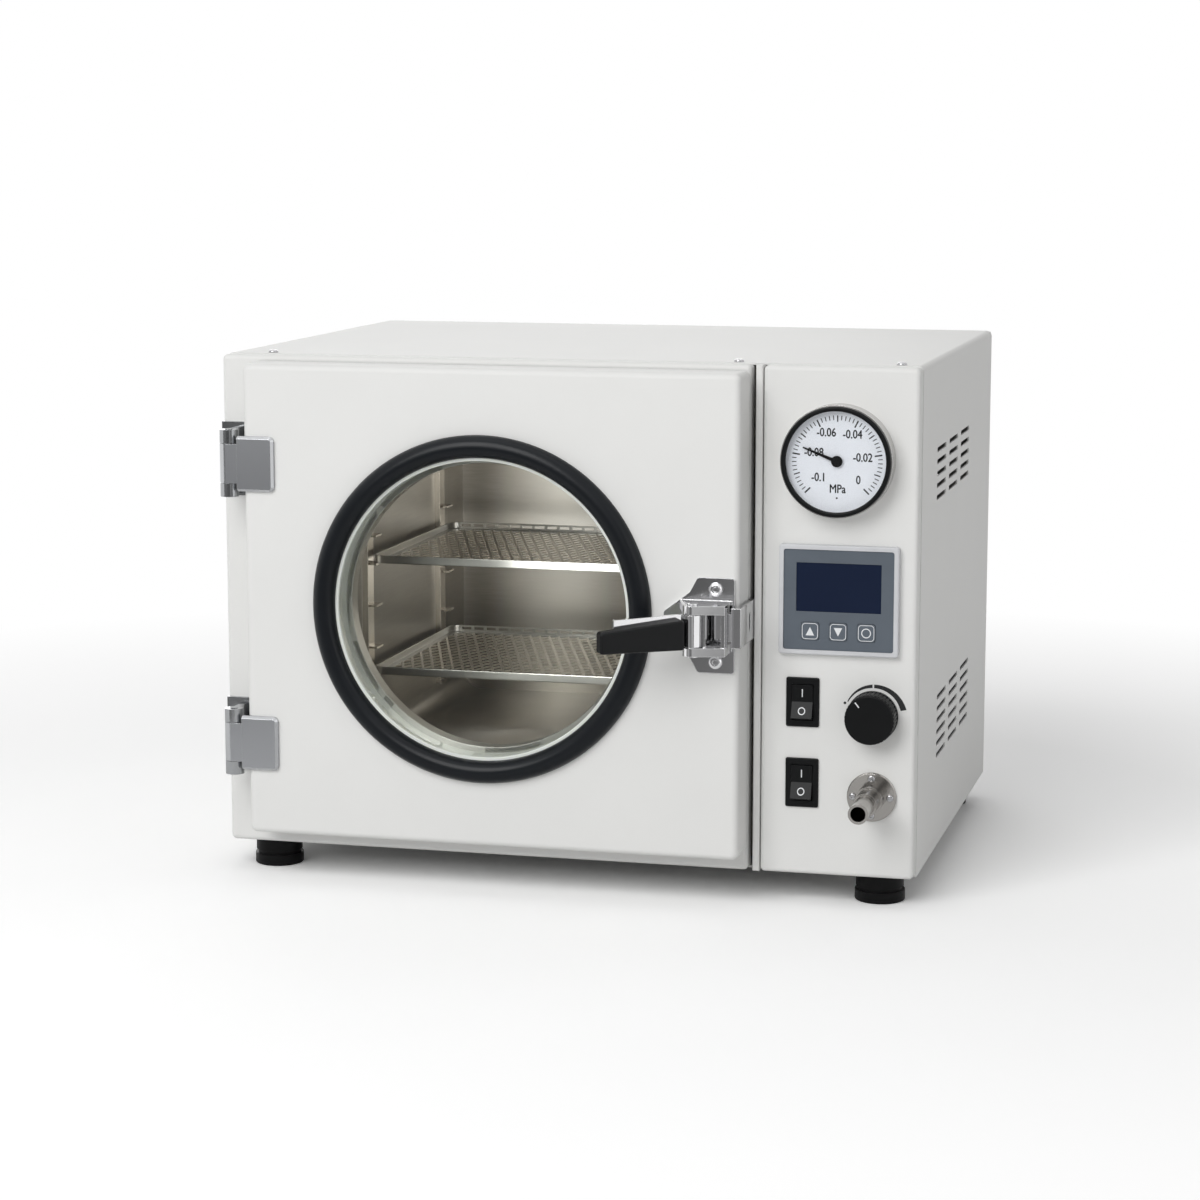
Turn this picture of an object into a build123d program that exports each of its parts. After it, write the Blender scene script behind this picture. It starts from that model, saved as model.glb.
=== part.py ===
from build123d import *

import math
import os

os.makedirs("parts", exist_ok=True)

# Bench-top vacuum oven. Millimetres, +Z up, the user stands on the -Y side.
# Origin: on the bench, under the centre of the whole machine.

# ---- cabinet ---------------------------------------------------------------
CABINET_W = 580.0
CABINET_H = 410.0
CABINET_D = 430.0
FOOT_H = 24.0
SHEET = 1.5  # thickness of every cabinet sheet
COVER_BEND_R = 5.0  # outside radius of the cover's two top bends
PANEL_W = 125.0  # control panel, right of the door
PANEL_SEAM = 0.6  # gap between the bulkhead's post and the control panel
POST_W = 5.6  # front post of the bulkhead, beside the control panel
POST_D = 12.0
POST_EDGE_R = 1.2
POST_GAP = 3.8  # open gap between the door frame and the post
FACE_RETURN = 14.0  # depth of the folded rim around each front panel
FACE_INSET = 0.6  # front panels stand this far inside the cover's outline
FACE_EDGE_R = 4.0  # rounded edges and corners of the front panels
TONGUE_D = 18.0  # tongues of the front panels under the cover and over the pan
TONGUE_END = 6.0  # tongues stop this far from a panel's ends
PAN_FLANGE = 14.0
REAR_FLANGE = 12.0

# ---- chamber, shelves and insulation -----------------------------------------
CHAMBER_W = 280.0
CHAMBER_H = 288.0
CHAMBER_D = 374.0
CHAMBER_WALL = 4.0
CHAMBER_CORNER_R = 18.0
MOUTH_MARGIN = 20.0  # sheet opening, past the chamber's inside on every side
FLANGE_MARGIN = 29.0  # welded flange, past the chamber's inside
FLANGE_T = 8.0
SEAL_MARGIN = 6.0  # metal between the chamber's inside and the seal
SEAL_W = 8.0
SEAL_SUNK = 3.5
SEAL_CLEAR = 0.3  # seal lip to the closed door
SEAL_LIP_R = 1.4
MAT_T = 4.0  # heater mats on the chamber's outside
MAT_EDGE = 40.0
WOOL_CLEAR = 1.5
WOOL_FRONT = 34.0
WOOL_BACK = 14.0
SHELF_GAUGE = 1.2
SHELF_RIM = 7.0
SHELF_SIDE = 8.0  # shelf's edge to the chamber's wall
SHELF_D = 226.0
SHELF_SETBACK = 83.0  # shelf's front rim, behind the chamber's mouth
SHELF_CORNER_R = 9.0
SHELF_LIFT = 0.3  # running gap between a shelf and its hooks
LOWER_SHELF_H = 64.0  # hook height over the chamber floor
SHELF_STEP = 96.0
SPARE_HOOK_STEP = 24.0
HOOK_T = 1.6
HOOK_REACH = 11.0
UPRIGHT_W = 26.0
UPRIGHT_T = 1.5
UPRIGHT_RIB = 5.0
FRONT_UPRIGHT_Y = 92.0  # behind the chamber's mouth
REAR_UPRIGHT_Y = 298.0
UPRIGHT_FOOT = 2.0  # upright's end to the chamber's rounded corner
DIAMOND = 9.0  # perforation across its corners
DIAMOND_PITCH = 20.0
SLOT_PITCH = 22.0
SLOT_L = 9.0
SLOT_T = 2.5

# ---- door ----------------------------------------------------------------------
DOOR_T = 35.5
DOOR_GAP = 2.5  # closed door to the front panels
DOOR_LEFT = 32.0  # cabinet's left side to the door
DOOR_RIGHT = 10.0  # door to the seam
DOOR_BELOW = 17.0
DOOR_ABOVE = 4.8
DOOR_SHEET = 1.5
DOOR_EDGE_R = 5.5
LINER_T = 2.0
WINDOW_IN = 211.9  # window centre, left of the door's right edge
WINDOW_H = 211.0  # window centre over the cabinet's bottom
GLASS_R = 121.5
GLASS_T = 20.0
SLEEVE_T = 3.5
SLEEVE_LIP = 1.0
SLEEVE_LIP_T = 3.0
TRIM_OUT_R = 141.5
TRIM_IN_R = 123.0
TRIM_H = 10.0
RETAINER_IN_R = 116.5
RETAINER_OUT_R = 134.0
RETAINER_T = 2.0
RETAINER_SCREWS = 8

# ---- hinges ---------------------------------------------------------------------
HINGE_OFF_X = 13.5  # pin axis, left of the door's edge
HINGE_OUT = 34.0  # pin axis, in front of the front panels
HINGE_H = 61.0
UPPER_HINGE_Z = 324.0  # hinge centres over the cabinet's bottom
LOWER_HINGE_Z = 93.0
KNUCKLE_R = 7.65
KNUCKLE_END = 11.0
KNUCKLE_MID = 32.0
KNUCKLE_GAP = 0.4
PIN_R = 3.0
RUNNING = 0.05
PRESS_GAP = 0.02
HINGE_BASE_T = 3.0
HINGE_BASE_W = 26.0
HINGE_WEB_T = 5.0
LEAF_T = 4.5
LEAF_IN = 27.0  # leaf over the door, from the door's edge
LEAF_H = 45.0
LEAF_BEVEL = 2.0
LEAF_CORNER_R = 4.0

# ---- latch ---------------------------------------------------------------------
LATCH_IN = 31.0  # lever axis, left of the door's right edge
LATCH_OUT = 66.0  # lever axis, in front of the front panels
LATCH_Z = 207.0  # middle of the latch over the cabinet's bottom
BARREL_R = 8.0
LATCH_PIN_R = 3.0
LATCH_PLATE_T = 3.0
LATCH_PLATE_RIGHT = 28.0  # plate's right edge, from the lever axis
LATCH_TAB_LEFT = -1.5
LATCH_TAB_H = 38.0  # half height of the plate
LATCH_WING = 29.0
LATCH_WING_H = 10.0
LATCH_NECK = -8.0
LATCH_NECK_H = 26.0
LUG_H = 20.0  # half height of the housing
LEVER_H = 12.6  # half height of the lever's own knuckle
LUG_GAP = 0.5
HOUSING_RIGHT = 26.0
HOUSING_WALL = 3.0
HOUSING_RIM = 2.0
HOUSING_RIM_D = 6.0
HOUSING_RIM_GAP = 0.6
LATCH_SCREW_X = 13.0
LATCH_SCREW_Z = 29.0
LEVER_ANGLE = 32.0  # lever, out from the door's face
LEVER_TRAVEL = 28.0
ARM_T = 4.5
ARM_L = 64.0
ARM_BACK = 6.5
GRIP_START = 9.0
GRIP_L = 69.0
GRIP_T = 10.0
GRIP_ROOT_H = 24.0
GRIP_TIP_H = 17.0
GRIP_DROP = 14.5  # grip's underside below the latch's middle
GRIP_R = 2.5
FINGER_T = 5.0
FINGER_L = 20.0
FINGER_H = 6.0
BOLT_H = 11.0
BOLT_T = 7.2
BOLT_CLEAR = 0.3
BOLT_TAIL = 5.0
BOLT_BEVEL = 2.5
BOLT_SLOT = 3.5
STRIKE_T = 2.5
STRIKE_GAP = 1.6  # door's edge to the strike
STRIKE_H = 31.5
STRIKE_HOOK = 7.5
STRIKE_FOOT = 20.0
STRIKE_BITE = 0.4
STRIKE_SLOT_OUT = 15.0

# ---- controls --------------------------------------------------------------------
GAUGE_IN = 63.5  # gauge centre, left of the cabinet's right side
GAUGE_Z = 336.5
GAUGE_R = 44.5
GAUGE_OUT = 20.0
GAUGE_BODY_R = 41.0
GAUGE_BODY_D = 25.0
GAUGE_WALL = 3.5
GAUGE_LIP = 0.9  # steel edge outside the black ring
GAUGE_RING_W = 3.9
GAUGE_RING_T = 3.0
DIAL_T = 1.0
DIAL_DEPTH = 8.0
LENS_T = 2.0
NEEDLE_L = 29.0
NEEDLE_TAIL = 4.0
NEEDLE_ROOT = 1.6  # half width at the hub
NEEDLE_TIP = 0.5
NEEDLE_T = 0.8
NEEDLE_REST = 158.7
SPINDLE_R = 1.2
HUB_R = 4.5
CONTROLLER_IN = 62.3
CONTROLLER_Z = 225.0
CONTROLLER_W = 96.0
CONTROLLER_H = 88.0
CONTROLLER_OUT = 6.0
CONTROLLER_RIM = 3.8
CONTROLLER_LEDGE = 1.2
CONTROLLER_D = 70.0
FACE_T = 2.0
FACE_SUNK = 1.0
SCREEN_W = 68.0
SCREEN_H = 39.0
SCREEN_UP = 10.1
KEY_W = 14.5
KEY_PITCH = 22.5
KEY_DOWN = 25.1
KEY_LIP = 1.0
KEY_OUT = 0.8
KEY_CLEAR = 0.2
SWITCH_IN = 91.0
SWITCH_UPPER_Z = 141.5
SWITCH_LOWER_Z = 76.0
SWITCH_W = 26.7
SWITCH_H = 40.0
SWITCH_OUT = 2.0
SWITCH_BODY_D = 24.0
SWITCH_BODY_EDGE = 2.0
ROCKER_W = 17.0
ROCKER_R = 14.4
ROCKER_OUT = 5.5
ROCKER_VALLEY = 2.5
ROCKER_BACK = 6.0
ROCKER_TILT = 10.0
ROCKER_CLEAR = 0.3
TRUNNION_R = 1.5
TRUNNION_L = 0.9
KNOB_IN = 34.4
KNOB_Z = 132.7
KNOB_R = 20.0
KNOB_OUT = 20.0
KNOB_GAP = 0.5
KNOB_FLUTES = 40
KNOB_FLUTE_R = 0.6
KNOB_CAP = 2.5  # smooth front edge
KNOB_CAP_R = 19.6
KNOB_CAP_BEVEL = 0.8
KNOB_SKIRT = 3.0
KNOB_SKIRT_R = 20.4
KNOB_POINTER = 129.0
POINTER_R = 15.4
POINTER_L = 6.0
POINTER_W = 1.4
POINTER_SUNK = 0.4
STEM_R = 3.0
NOZZLE_Z = 67.3
NOZZLE_FLANGE_R = 19.75
NOZZLE_FLANGE_T = 3.0
NOZZLE_PCD = 30.0
NOZZLE_COLLAR_R = 11.0
NOZZLE_COLLAR_L = 13.0
NOZZLE_STEP_R = 9.5
NOZZLE_STEP_L = 19.0
NOZZLE_R = 8.0
NOZZLE_BORE_R = 6.0
NOZZLE_OUT = 66.0
BLOCK_W = 28.0
BLOCK_D = 34.0
BLOCK_END = 18.0

# ---- services behind the panels -----------------------------------------------------
PIPE_R = 5.0
GAUGE_PIPE_R = 4.0
PIPE_Z = 290.0
PIPE_DEPTH = 330.0
PIPE_TURN_DEPTH = 100.0
PIPE_TEE_DEPTH = 150.0
PROBE_R = 3.0
PROBE_DEPTH = 250.0
PROBE_Z = 180.0
RELAY_W = 24.0
RELAY_D = 58.0
RELAY_H = 45.0
RELAY_DEPTH = 200.0
RELAY_Z = 90.0
INLET_IN = 75.0
INLET_Z = 60.0
INLET_W = 50.0
INLET_H = 30.0
INLET_FLANGE_T = 3.0
INLET_BODY_W = 28.0
INLET_BODY_H = 22.0
INLET_BODY_D = 24.0
SOCKET_W = 24.4
SOCKET_H = 16.6
SOCKET_D = 16.0
BLADE_PITCH = 7.0
BLADE_T = 2.0
BLADE_H = 4.0
BLADE_L = 14.0
INLET_SCREW_PITCH = 40.0
INLET_HEAD_R = 3.6
INLET_HEAD_H = 1.3
BLADE_DROP = 1.0  # outer blades, below the inlet's middle
BLADE_RISE = 3.0  # earth blade, above it

# ---- vents, feet and screws -----------------------------------------------------------
VENT_L = 51.5
VENT_H = 4.0
VENT_COLUMNS = 3
VENT_COLUMN_PITCH = 69.8
VENT_ROW_PITCH = 9.8
UPPER_VENT_ROWS = 5
UPPER_VENT_Z = 316.2
UPPER_VENT_DEPTH = 190.5
LOWER_VENT_ROWS = 6
LOWER_VENT_Z = 103.1
LOWER_VENT_DEPTH = 211.5
REAR_VENT_L = 60.0
REAR_VENT_ROWS = 6
REAR_VENT_Z = 300.0
FOOT_R = 20.4
FOOT_UPPER_R = 19.5
FOOT_GROOVE_R = 18.0
FOOT_RING_H = 9.0
FOOT_GROOVE_H = 3.0
FOOT_EDGE_R = 1.5
FOOT_IN = 32.0
FOOT_STUD = 3.0
SCREW_R = 2.0
SCREW_HEAD_R = 4.0
SCREW_HEAD_H = 2.2
SCREW_DOME = 0.8  # rounded share of a head's height
SCREW_RECESS = 0.35  # recess radius, as a share of the head's
SCREW_L = 8.0
COVER_SCREW_BACK = 9.0  # cover screws, behind the cover's front edge
COVER_SCREW_SIDE = 37.0  # outer cover screws, from the cabinet's left side
COVER_SCREW_SEAM = 24.0  # middle cover screw, left of the seam
COVER_SCREW_PANEL = 19.0  # right cover screw, from the cabinet's right side
LATCH_HEAD_R = 5.5
LATCH_HEAD_H = 3.2

# ---- worked-out places --------------------------------------------------------------
LEFT = -CABINET_W / 2
RIGHT = CABINET_W / 2
BOTTOM = FOOT_H
TOP = FOOT_H + CABINET_H

lean = math.radians(LEVER_ANGLE)
grip_end = GRIP_START + GRIP_L
grip_front = GRIP_T - ARM_BACK + ARM_T
FRONT_REACH = (
    LATCH_OUT
    + (grip_end - GRIP_R) * math.sin(lean)
    + (grip_front - GRIP_R) * math.cos(lean)
    + GRIP_R
)
REAR_REACH = CABINET_D + INLET_FLANGE_T
FRONT_Y = (FRONT_REACH - REAR_REACH) / 2  # front faces of both front panels
BACK_Y = FRONT_Y + CABINET_D

FRAME_X0 = LEFT + FACE_INSET
SEAM_X = RIGHT - PANEL_W - PANEL_SEAM
POST_X = SEAM_X - POST_W
FRAME_X1 = POST_X - POST_GAP
PANEL_X0 = RIGHT - PANEL_W
PANEL_X1 = RIGHT - FACE_INSET
DOOR_X0 = LEFT + DOOR_LEFT
DOOR_X1 = SEAM_X - DOOR_RIGHT
DOOR_Z0 = BOTTOM + DOOR_BELOW
DOOR_Z1 = TOP - DOOR_ABOVE
DOOR_FRONT = DOOR_GAP + DOOR_T  # door face, in front of the front panels
WINDOW_CX = DOOR_X1 - WINDOW_IN
WINDOW_Z = BOTTOM + WINDOW_H
CHAMBER_FLOOR = WINDOW_Z - CHAMBER_H / 2
CHAMBER_LEFT = WINDOW_CX - CHAMBER_W / 2
CHAMBER_RIGHT = WINDOW_CX + CHAMBER_W / 2
HINGE_X = DOOR_X0 - HINGE_OFF_X
HINGE_Y = FRONT_Y - HINGE_OUT
LATCH_X = DOOR_X1 - LATCH_IN
LATCH_Y = FRONT_Y - LATCH_OUT
LATCH_MID = BOTTOM + LATCH_Z
BULKHEAD_X = SEAM_X - 2 * SHEET
SHELF_W = CHAMBER_W - 2 * SHELF_SIDE
GAUGE_X = RIGHT - GAUGE_IN
CONTROLLER_X = RIGHT - CONTROLLER_IN
SWITCH_X = RIGHT - SWITCH_IN
KNOB_X = RIGHT - KNOB_IN
INLET_X = RIGHT - INLET_IN
COVER_Y = FRONT_Y + FACE_RETURN  # the cover's and the pan's front edge
COVER_SCREW_Y = COVER_Y + COVER_SCREW_BACK
COVER_SCREW_XS = (LEFT + COVER_SCREW_SIDE, SEAM_X - COVER_SCREW_SEAM, RIGHT - COVER_SCREW_PANEL)


def face(forward=0.0):
    """A plane that faces the user, this far in front of the front panels."""
    return Plane.XZ.offset(forward - FRONT_Y)


def rear(backward=0.0):
    """A plane that faces backward, this far behind the cabinet's back."""
    return Plane.XZ.offset(-BACK_Y - backward)


def folded_panel(x0, x1):
    """A front panel between x0 and x1: rounded edges, a folded rim and two tongues."""
    width = x1 - x0
    height = CABINET_H - 2 * FACE_INSET
    middle = ((x0 + x1) / 2, BOTTOM + CABINET_H / 2)
    with BuildPart() as blank:
        with BuildSketch(face()):
            with Locations(middle):
                RectangleRounded(width, height, FACE_EDGE_R)
        extrude(amount=-FACE_RETURN)
        fillet(blank.faces().sort_by(Axis.Y)[0].edges(), FACE_EDGE_R - 0.2)
        offset(amount=-SHEET, openings=blank.faces().sort_by(Axis.Y)[-1])
        tongue_y = FRONT_Y + FACE_RETURN - SHEET
        for z in (BOTTOM + SHEET, TOP - 2 * SHEET):
            with BuildSketch(Plane.XY.offset(z)):
                with Locations((middle[0], tongue_y)):
                    Rectangle(width - 2 * TONGUE_END, TONGUE_D, align=(Align.CENTER, Align.MIN))
            extrude(amount=SHEET)
    return blank.part


def screw(head_r, head_h, shank_r, length):
    """A round-headed screw standing on z = 0, head up and shank down."""
    with BuildPart() as made:
        Cylinder(head_r, head_h, align=(Align.CENTER, Align.CENTER, Align.MIN))
        fillet(made.faces().sort_by(Axis.Z)[-1].edges(), head_h * SCREW_DOME)
        with Locations((0, 0, head_h)):
            Cylinder(head_r * SCREW_RECESS, head_h * SCREW_DOME, mode=Mode.SUBTRACT)
        Cylinder(shank_r, length, align=(Align.CENTER, Align.CENTER, Align.MAX))
    return made.part


# ==== cabinet sheets ====================================================================
with BuildPart() as front_frame:
    add(folded_panel(FRAME_X0, FRAME_X1))
    with BuildSketch(face()):
        with Locations((WINDOW_CX, WINDOW_Z)):
            RectangleRounded(
                CHAMBER_W + 2 * MOUTH_MARGIN,
                CHAMBER_H + 2 * MOUTH_MARGIN,
                CHAMBER_CORNER_R + MOUTH_MARGIN,
            )
    extrude(amount=-2 * SHEET, mode=Mode.SUBTRACT)
    with BuildSketch(Plane.YZ.offset(FRAME_X1 - FACE_EDGE_R)):
        with Locations((FRONT_Y + SHEET, LATCH_MID)):
            Rectangle(
                STRIKE_T + PRESS_GAP,
                STRIKE_H + 2 * PRESS_GAP,
                align=(Align.MIN, Align.CENTER),
            )
    extrude(amount=2 * FACE_EDGE_R, mode=Mode.SUBTRACT)
    with BuildSketch(face()):
        with Locations((DOOR_X1 + STRIKE_GAP - STRIKE_FOOT / 2, LATCH_MID)):
            with GridLocations(0, STRIKE_H / 2, 1, 2):
                Circle(SCREW_R)
    extrude(amount=-2 * SHEET, mode=Mode.SUBTRACT)
    with BuildSketch(Plane.XY.offset(TOP)):
        with Locations([(x, COVER_SCREW_Y) for x in COVER_SCREW_XS[:2]]):
            Circle(SCREW_R)
    extrude(amount=-4 * SHEET, mode=Mode.SUBTRACT)
front_frame.part.label = "front_frame"
export_step(front_frame.part, "parts/front_frame.step")

with BuildPart() as control_panel:
    add(folded_panel(PANEL_X0, PANEL_X1))
    with BuildSketch(face()):
        with Locations((GAUGE_X, BOTTOM + GAUGE_Z)):
            Circle(GAUGE_BODY_R)
        with Locations((CONTROLLER_X, BOTTOM + CONTROLLER_Z)):
            Rectangle(CONTROLLER_W - 2 * CONTROLLER_RIM, CONTROLLER_H - 2 * CONTROLLER_RIM)
        for height in (SWITCH_UPPER_Z, SWITCH_LOWER_Z):
            with Locations((SWITCH_X, BOTTOM + height)):
                Rectangle(SWITCH_W - 2 * SWITCH_BODY_EDGE, SWITCH_H - 2 * SWITCH_BODY_EDGE)
        with Locations((KNOB_X, BOTTOM + KNOB_Z)):
            Circle(STEM_R + 1)
        with Locations((KNOB_X, BOTTOM + NOZZLE_Z)):
            Circle(NOZZLE_STEP_R)
            with PolarLocations(NOZZLE_PCD / 2, 4):
                Circle(SCREW_R)
    extrude(amount=-2 * SHEET, mode=Mode.SUBTRACT)
    with BuildSketch(Plane.XY.offset(TOP)):
        with Locations((COVER_SCREW_XS[2], COVER_SCREW_Y)):
            Circle(SCREW_R)
    extrude(amount=-4 * SHEET, mode=Mode.SUBTRACT)
control_panel.part.label = "control_panel"
export_step(control_panel.part, "parts/control_panel.step")

rear_inset = SHEET + REAR_FLANGE / 2
rear_xs = (LEFT + rear_inset, RIGHT - rear_inset)
rear_zs = (BOTTOM + CABINET_H * 0.3, BOTTOM + CABINET_H * 0.8)
pan_screw_z = BOTTOM + PAN_FLANGE / 2
top_screw_z = TOP - rear_inset
rear_screws = [(x, z) for x in rear_xs for z in rear_zs]
rear_screws += [(x, z) for x in (LEFT / 2, RIGHT / 2) for z in (pan_screw_z, top_screw_z)]

cover_d = BACK_Y - COVER_Y
with BuildPart() as outer_cover:
    with BuildSketch(face(-FACE_RETURN)) as wrap:
        with Locations((0, BOTTOM)):
            Rectangle(CABINET_W, CABINET_H, align=(Align.CENTER, Align.MIN))
        fillet(wrap.vertices().group_by(Axis.Y)[-1], COVER_BEND_R)
    extrude(amount=-cover_d)
    with BuildSketch(face(-FACE_RETURN)) as inside:
        with Locations((0, BOTTOM)):
            Rectangle(
                CABINET_W - 2 * SHEET, CABINET_H - SHEET, align=(Align.CENTER, Align.MIN)
            )
        fillet(inside.vertices().group_by(Axis.Y)[-1], COVER_BEND_R - SHEET)
    extrude(amount=-cover_d, mode=Mode.SUBTRACT)
    with BuildSketch(rear(-SHEET)):
        with Locations((0, TOP - SHEET / 2)):
            Rectangle(
                CABINET_W - SHEET,
                CABINET_H - PAN_FLANGE - SHEET * 2,
                align=(Align.CENTER, Align.MAX),
            )
        with Locations((0, TOP - REAR_FLANGE)):
            Rectangle(
                CABINET_W - 2 * REAR_FLANGE,
                CABINET_H,
                align=(Align.CENTER, Align.MAX),
                mode=Mode.SUBTRACT,
            )
    extrude(amount=SHEET)
    for rows, height, depth in (
        (UPPER_VENT_ROWS, UPPER_VENT_Z, UPPER_VENT_DEPTH),
        (LOWER_VENT_ROWS, LOWER_VENT_Z, LOWER_VENT_DEPTH),
    ):
        with BuildSketch(Plane.YZ.offset(RIGHT)):
            with Locations((FRONT_Y + depth, BOTTOM + height)):
                with GridLocations(VENT_COLUMN_PITCH, VENT_ROW_PITCH, VENT_COLUMNS, rows):
                    SlotOverall(VENT_L, VENT_H)
        extrude(amount=-2 * SHEET, mode=Mode.SUBTRACT)
    with BuildSketch(Plane.XY.offset(TOP)):
        with Locations([(x, COVER_SCREW_Y) for x in COVER_SCREW_XS]):
            Circle(SCREW_R)
    extrude(amount=-2 * SHEET, mode=Mode.SUBTRACT)
    with BuildSketch(rear()):
        with Locations(rear_screws):
            Circle(SCREW_R)
    extrude(amount=3 * SHEET, mode=Mode.SUBTRACT)
outer_cover.part.label = "outer_cover"
export_step(outer_cover.part, "parts/outer_cover.step")

with BuildPart() as base_pan:
    with BuildSketch(Plane.XY.offset(BOTTOM)):
        with Locations((0, COVER_Y)):
            Rectangle(
                CABINET_W - 2 * SHEET, cover_d - 2 * SHEET, align=(Align.CENTER, Align.MIN)
            )
    extrude(amount=PAN_FLANGE)
    offset(amount=-SHEET, openings=base_pan.faces().sort_by(Axis.Z)[-1])
    with BuildSketch(Plane.XY.offset(BOTTOM + SHEET)):
        with Locations((0, COVER_Y)):
            Rectangle(CABINET_W - 4 * SHEET, 2 * SHEET)
    extrude(amount=PAN_FLANGE, mode=Mode.SUBTRACT)
    with BuildSketch(Plane.XY.offset(BOTTOM)):
        with Locations((0, FRONT_Y + CABINET_D / 2)):
            with GridLocations(CABINET_W - 2 * FOOT_IN, CABINET_D - 2 * FOOT_IN, 2, 2):
                Circle(SCREW_R)
    extrude(amount=SHEET, mode=Mode.SUBTRACT)
    with BuildSketch(rear()):
        with Locations(rear_screws):
            Circle(SCREW_R)
    extrude(amount=4 * SHEET, mode=Mode.SUBTRACT)
base_pan.part.label = "base_pan"
export_step(base_pan.part, "parts/base_pan.step")

inlet_z = BOTTOM + INLET_Z

with BuildPart() as back_panel:
    with BuildSketch(rear(-SHEET)) as plate:
        with Locations((0, BOTTOM)):
            Rectangle(
                CABINET_W - 2 * SHEET, CABINET_H - SHEET, align=(Align.CENTER, Align.MIN)
            )
        fillet(plate.vertices().group_by(Axis.Y)[-1], COVER_BEND_R - SHEET)
        with Locations(rear_screws):
            Circle(SCREW_R, mode=Mode.SUBTRACT)
        with Locations((INLET_X, inlet_z)):
            Rectangle(INLET_BODY_W, INLET_BODY_H, mode=Mode.SUBTRACT)
            with GridLocations(INLET_SCREW_PITCH, 0, 2, 1):
                Circle(SCREW_R, mode=Mode.SUBTRACT)
        with Locations((INLET_X, BOTTOM + REAR_VENT_Z)):
            with GridLocations(0, VENT_ROW_PITCH, 1, REAR_VENT_ROWS):
                SlotOverall(REAR_VENT_L, VENT_H, mode=Mode.SUBTRACT)
    extrude(amount=-SHEET)
back_panel.part.label = "back_panel"
export_step(back_panel.part, "parts/back_panel.step")

cover_screw = screw(SCREW_HEAD_R, SCREW_HEAD_H, SCREW_R, SCREW_L)
strike_screw = screw(SCREW_HEAD_R, SCREW_HEAD_H, SCREW_R, STRIKE_T + SHEET)
inlet_screw = screw(INLET_HEAD_R, INLET_HEAD_H, SCREW_R, SCREW_L)

with BuildPart() as bulkhead:
    with BuildSketch(Plane.XY.offset(BOTTOM + FACE_INSET)):
        with Locations((POST_X, FRONT_Y)):
            Rectangle(POST_W, POST_D, align=Align.MIN)
    extrude(amount=CABINET_H - 2 * FACE_INSET)
    fillet(bulkhead.faces().sort_by(Axis.Y)[0].edges(), POST_EDGE_R)
    with BuildSketch(Plane.XY.offset(BOTTOM + FACE_INSET + SHEET)):
        with Locations((POST_X + SHEET, FRONT_Y + SHEET)):
            Rectangle(POST_W - 2 * SHEET, POST_D, align=Align.MIN)
    extrude(amount=CABINET_H - 2 * FACE_INSET - 2 * SHEET, mode=Mode.SUBTRACT)
    with BuildSketch(Plane.YZ.offset(BULKHEAD_X)):
        with Locations((FRONT_Y + FACE_EDGE_R, BOTTOM + CABINET_H / 2)):
            Rectangle(
                CABINET_D - FACE_EDGE_R - REAR_FLANGE,
                CABINET_H - 2 * FACE_EDGE_R - 4 * FACE_INSET,
                align=(Align.MIN, Align.CENTER),
            )
        with Locations((FRONT_Y + PIPE_DEPTH, BOTTOM + PIPE_Z)):
            Circle(PIPE_R, mode=Mode.SUBTRACT)
        with Locations((FRONT_Y + PROBE_DEPTH, BOTTOM + PROBE_Z)):
            Circle(PROBE_R, mode=Mode.SUBTRACT)
    extrude(amount=SHEET)
bulkhead.part.label = "bulkhead"
export_step(bulkhead.part, "parts/bulkhead.step")

# ==== chamber =============================================================================
mouth = face(-SHEET)
mouth_y = FRONT_Y + SHEET
chamber_middle = (WINDOW_CX, WINDOW_Z)
seal_out = SEAL_MARGIN + SEAL_W
with BuildPart() as chamber:
    with BuildSketch(mouth):
        with Locations(chamber_middle):
            RectangleRounded(
                CHAMBER_W + 2 * FLANGE_MARGIN,
                CHAMBER_H + 2 * FLANGE_MARGIN,
                CHAMBER_CORNER_R + FLANGE_MARGIN,
            )
    extrude(amount=-FLANGE_T)
    with BuildSketch(mouth):
        with Locations(chamber_middle):
            RectangleRounded(
                CHAMBER_W + 2 * CHAMBER_WALL,
                CHAMBER_H + 2 * CHAMBER_WALL,
                CHAMBER_CORNER_R + CHAMBER_WALL,
            )
    extrude(amount=-CHAMBER_D - CHAMBER_WALL)
    with BuildSketch(mouth):
        with Locations(chamber_middle):
            RectangleRounded(CHAMBER_W, CHAMBER_H, CHAMBER_CORNER_R)
    extrude(amount=-CHAMBER_D, mode=Mode.SUBTRACT)
    with BuildSketch(mouth):
        with Locations(chamber_middle):
            RectangleRounded(
                CHAMBER_W + 2 * seal_out, CHAMBER_H + 2 * seal_out, CHAMBER_CORNER_R + seal_out
            )
            RectangleRounded(
                CHAMBER_W + 2 * SEAL_MARGIN,
                CHAMBER_H + 2 * SEAL_MARGIN,
                CHAMBER_CORNER_R + SEAL_MARGIN,
                mode=Mode.SUBTRACT,
            )
    extrude(amount=-SEAL_SUNK, mode=Mode.SUBTRACT)
    with BuildSketch(Plane.YZ.offset(CHAMBER_RIGHT - CHAMBER_WALL)):
        with Locations((FRONT_Y + PIPE_DEPTH, BOTTOM + PIPE_Z)):
            Circle(PIPE_R)
    extrude(amount=3 * CHAMBER_WALL, mode=Mode.SUBTRACT)
chamber.part.label = "chamber"
export_step(chamber.part, "parts/chamber.step")

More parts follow.
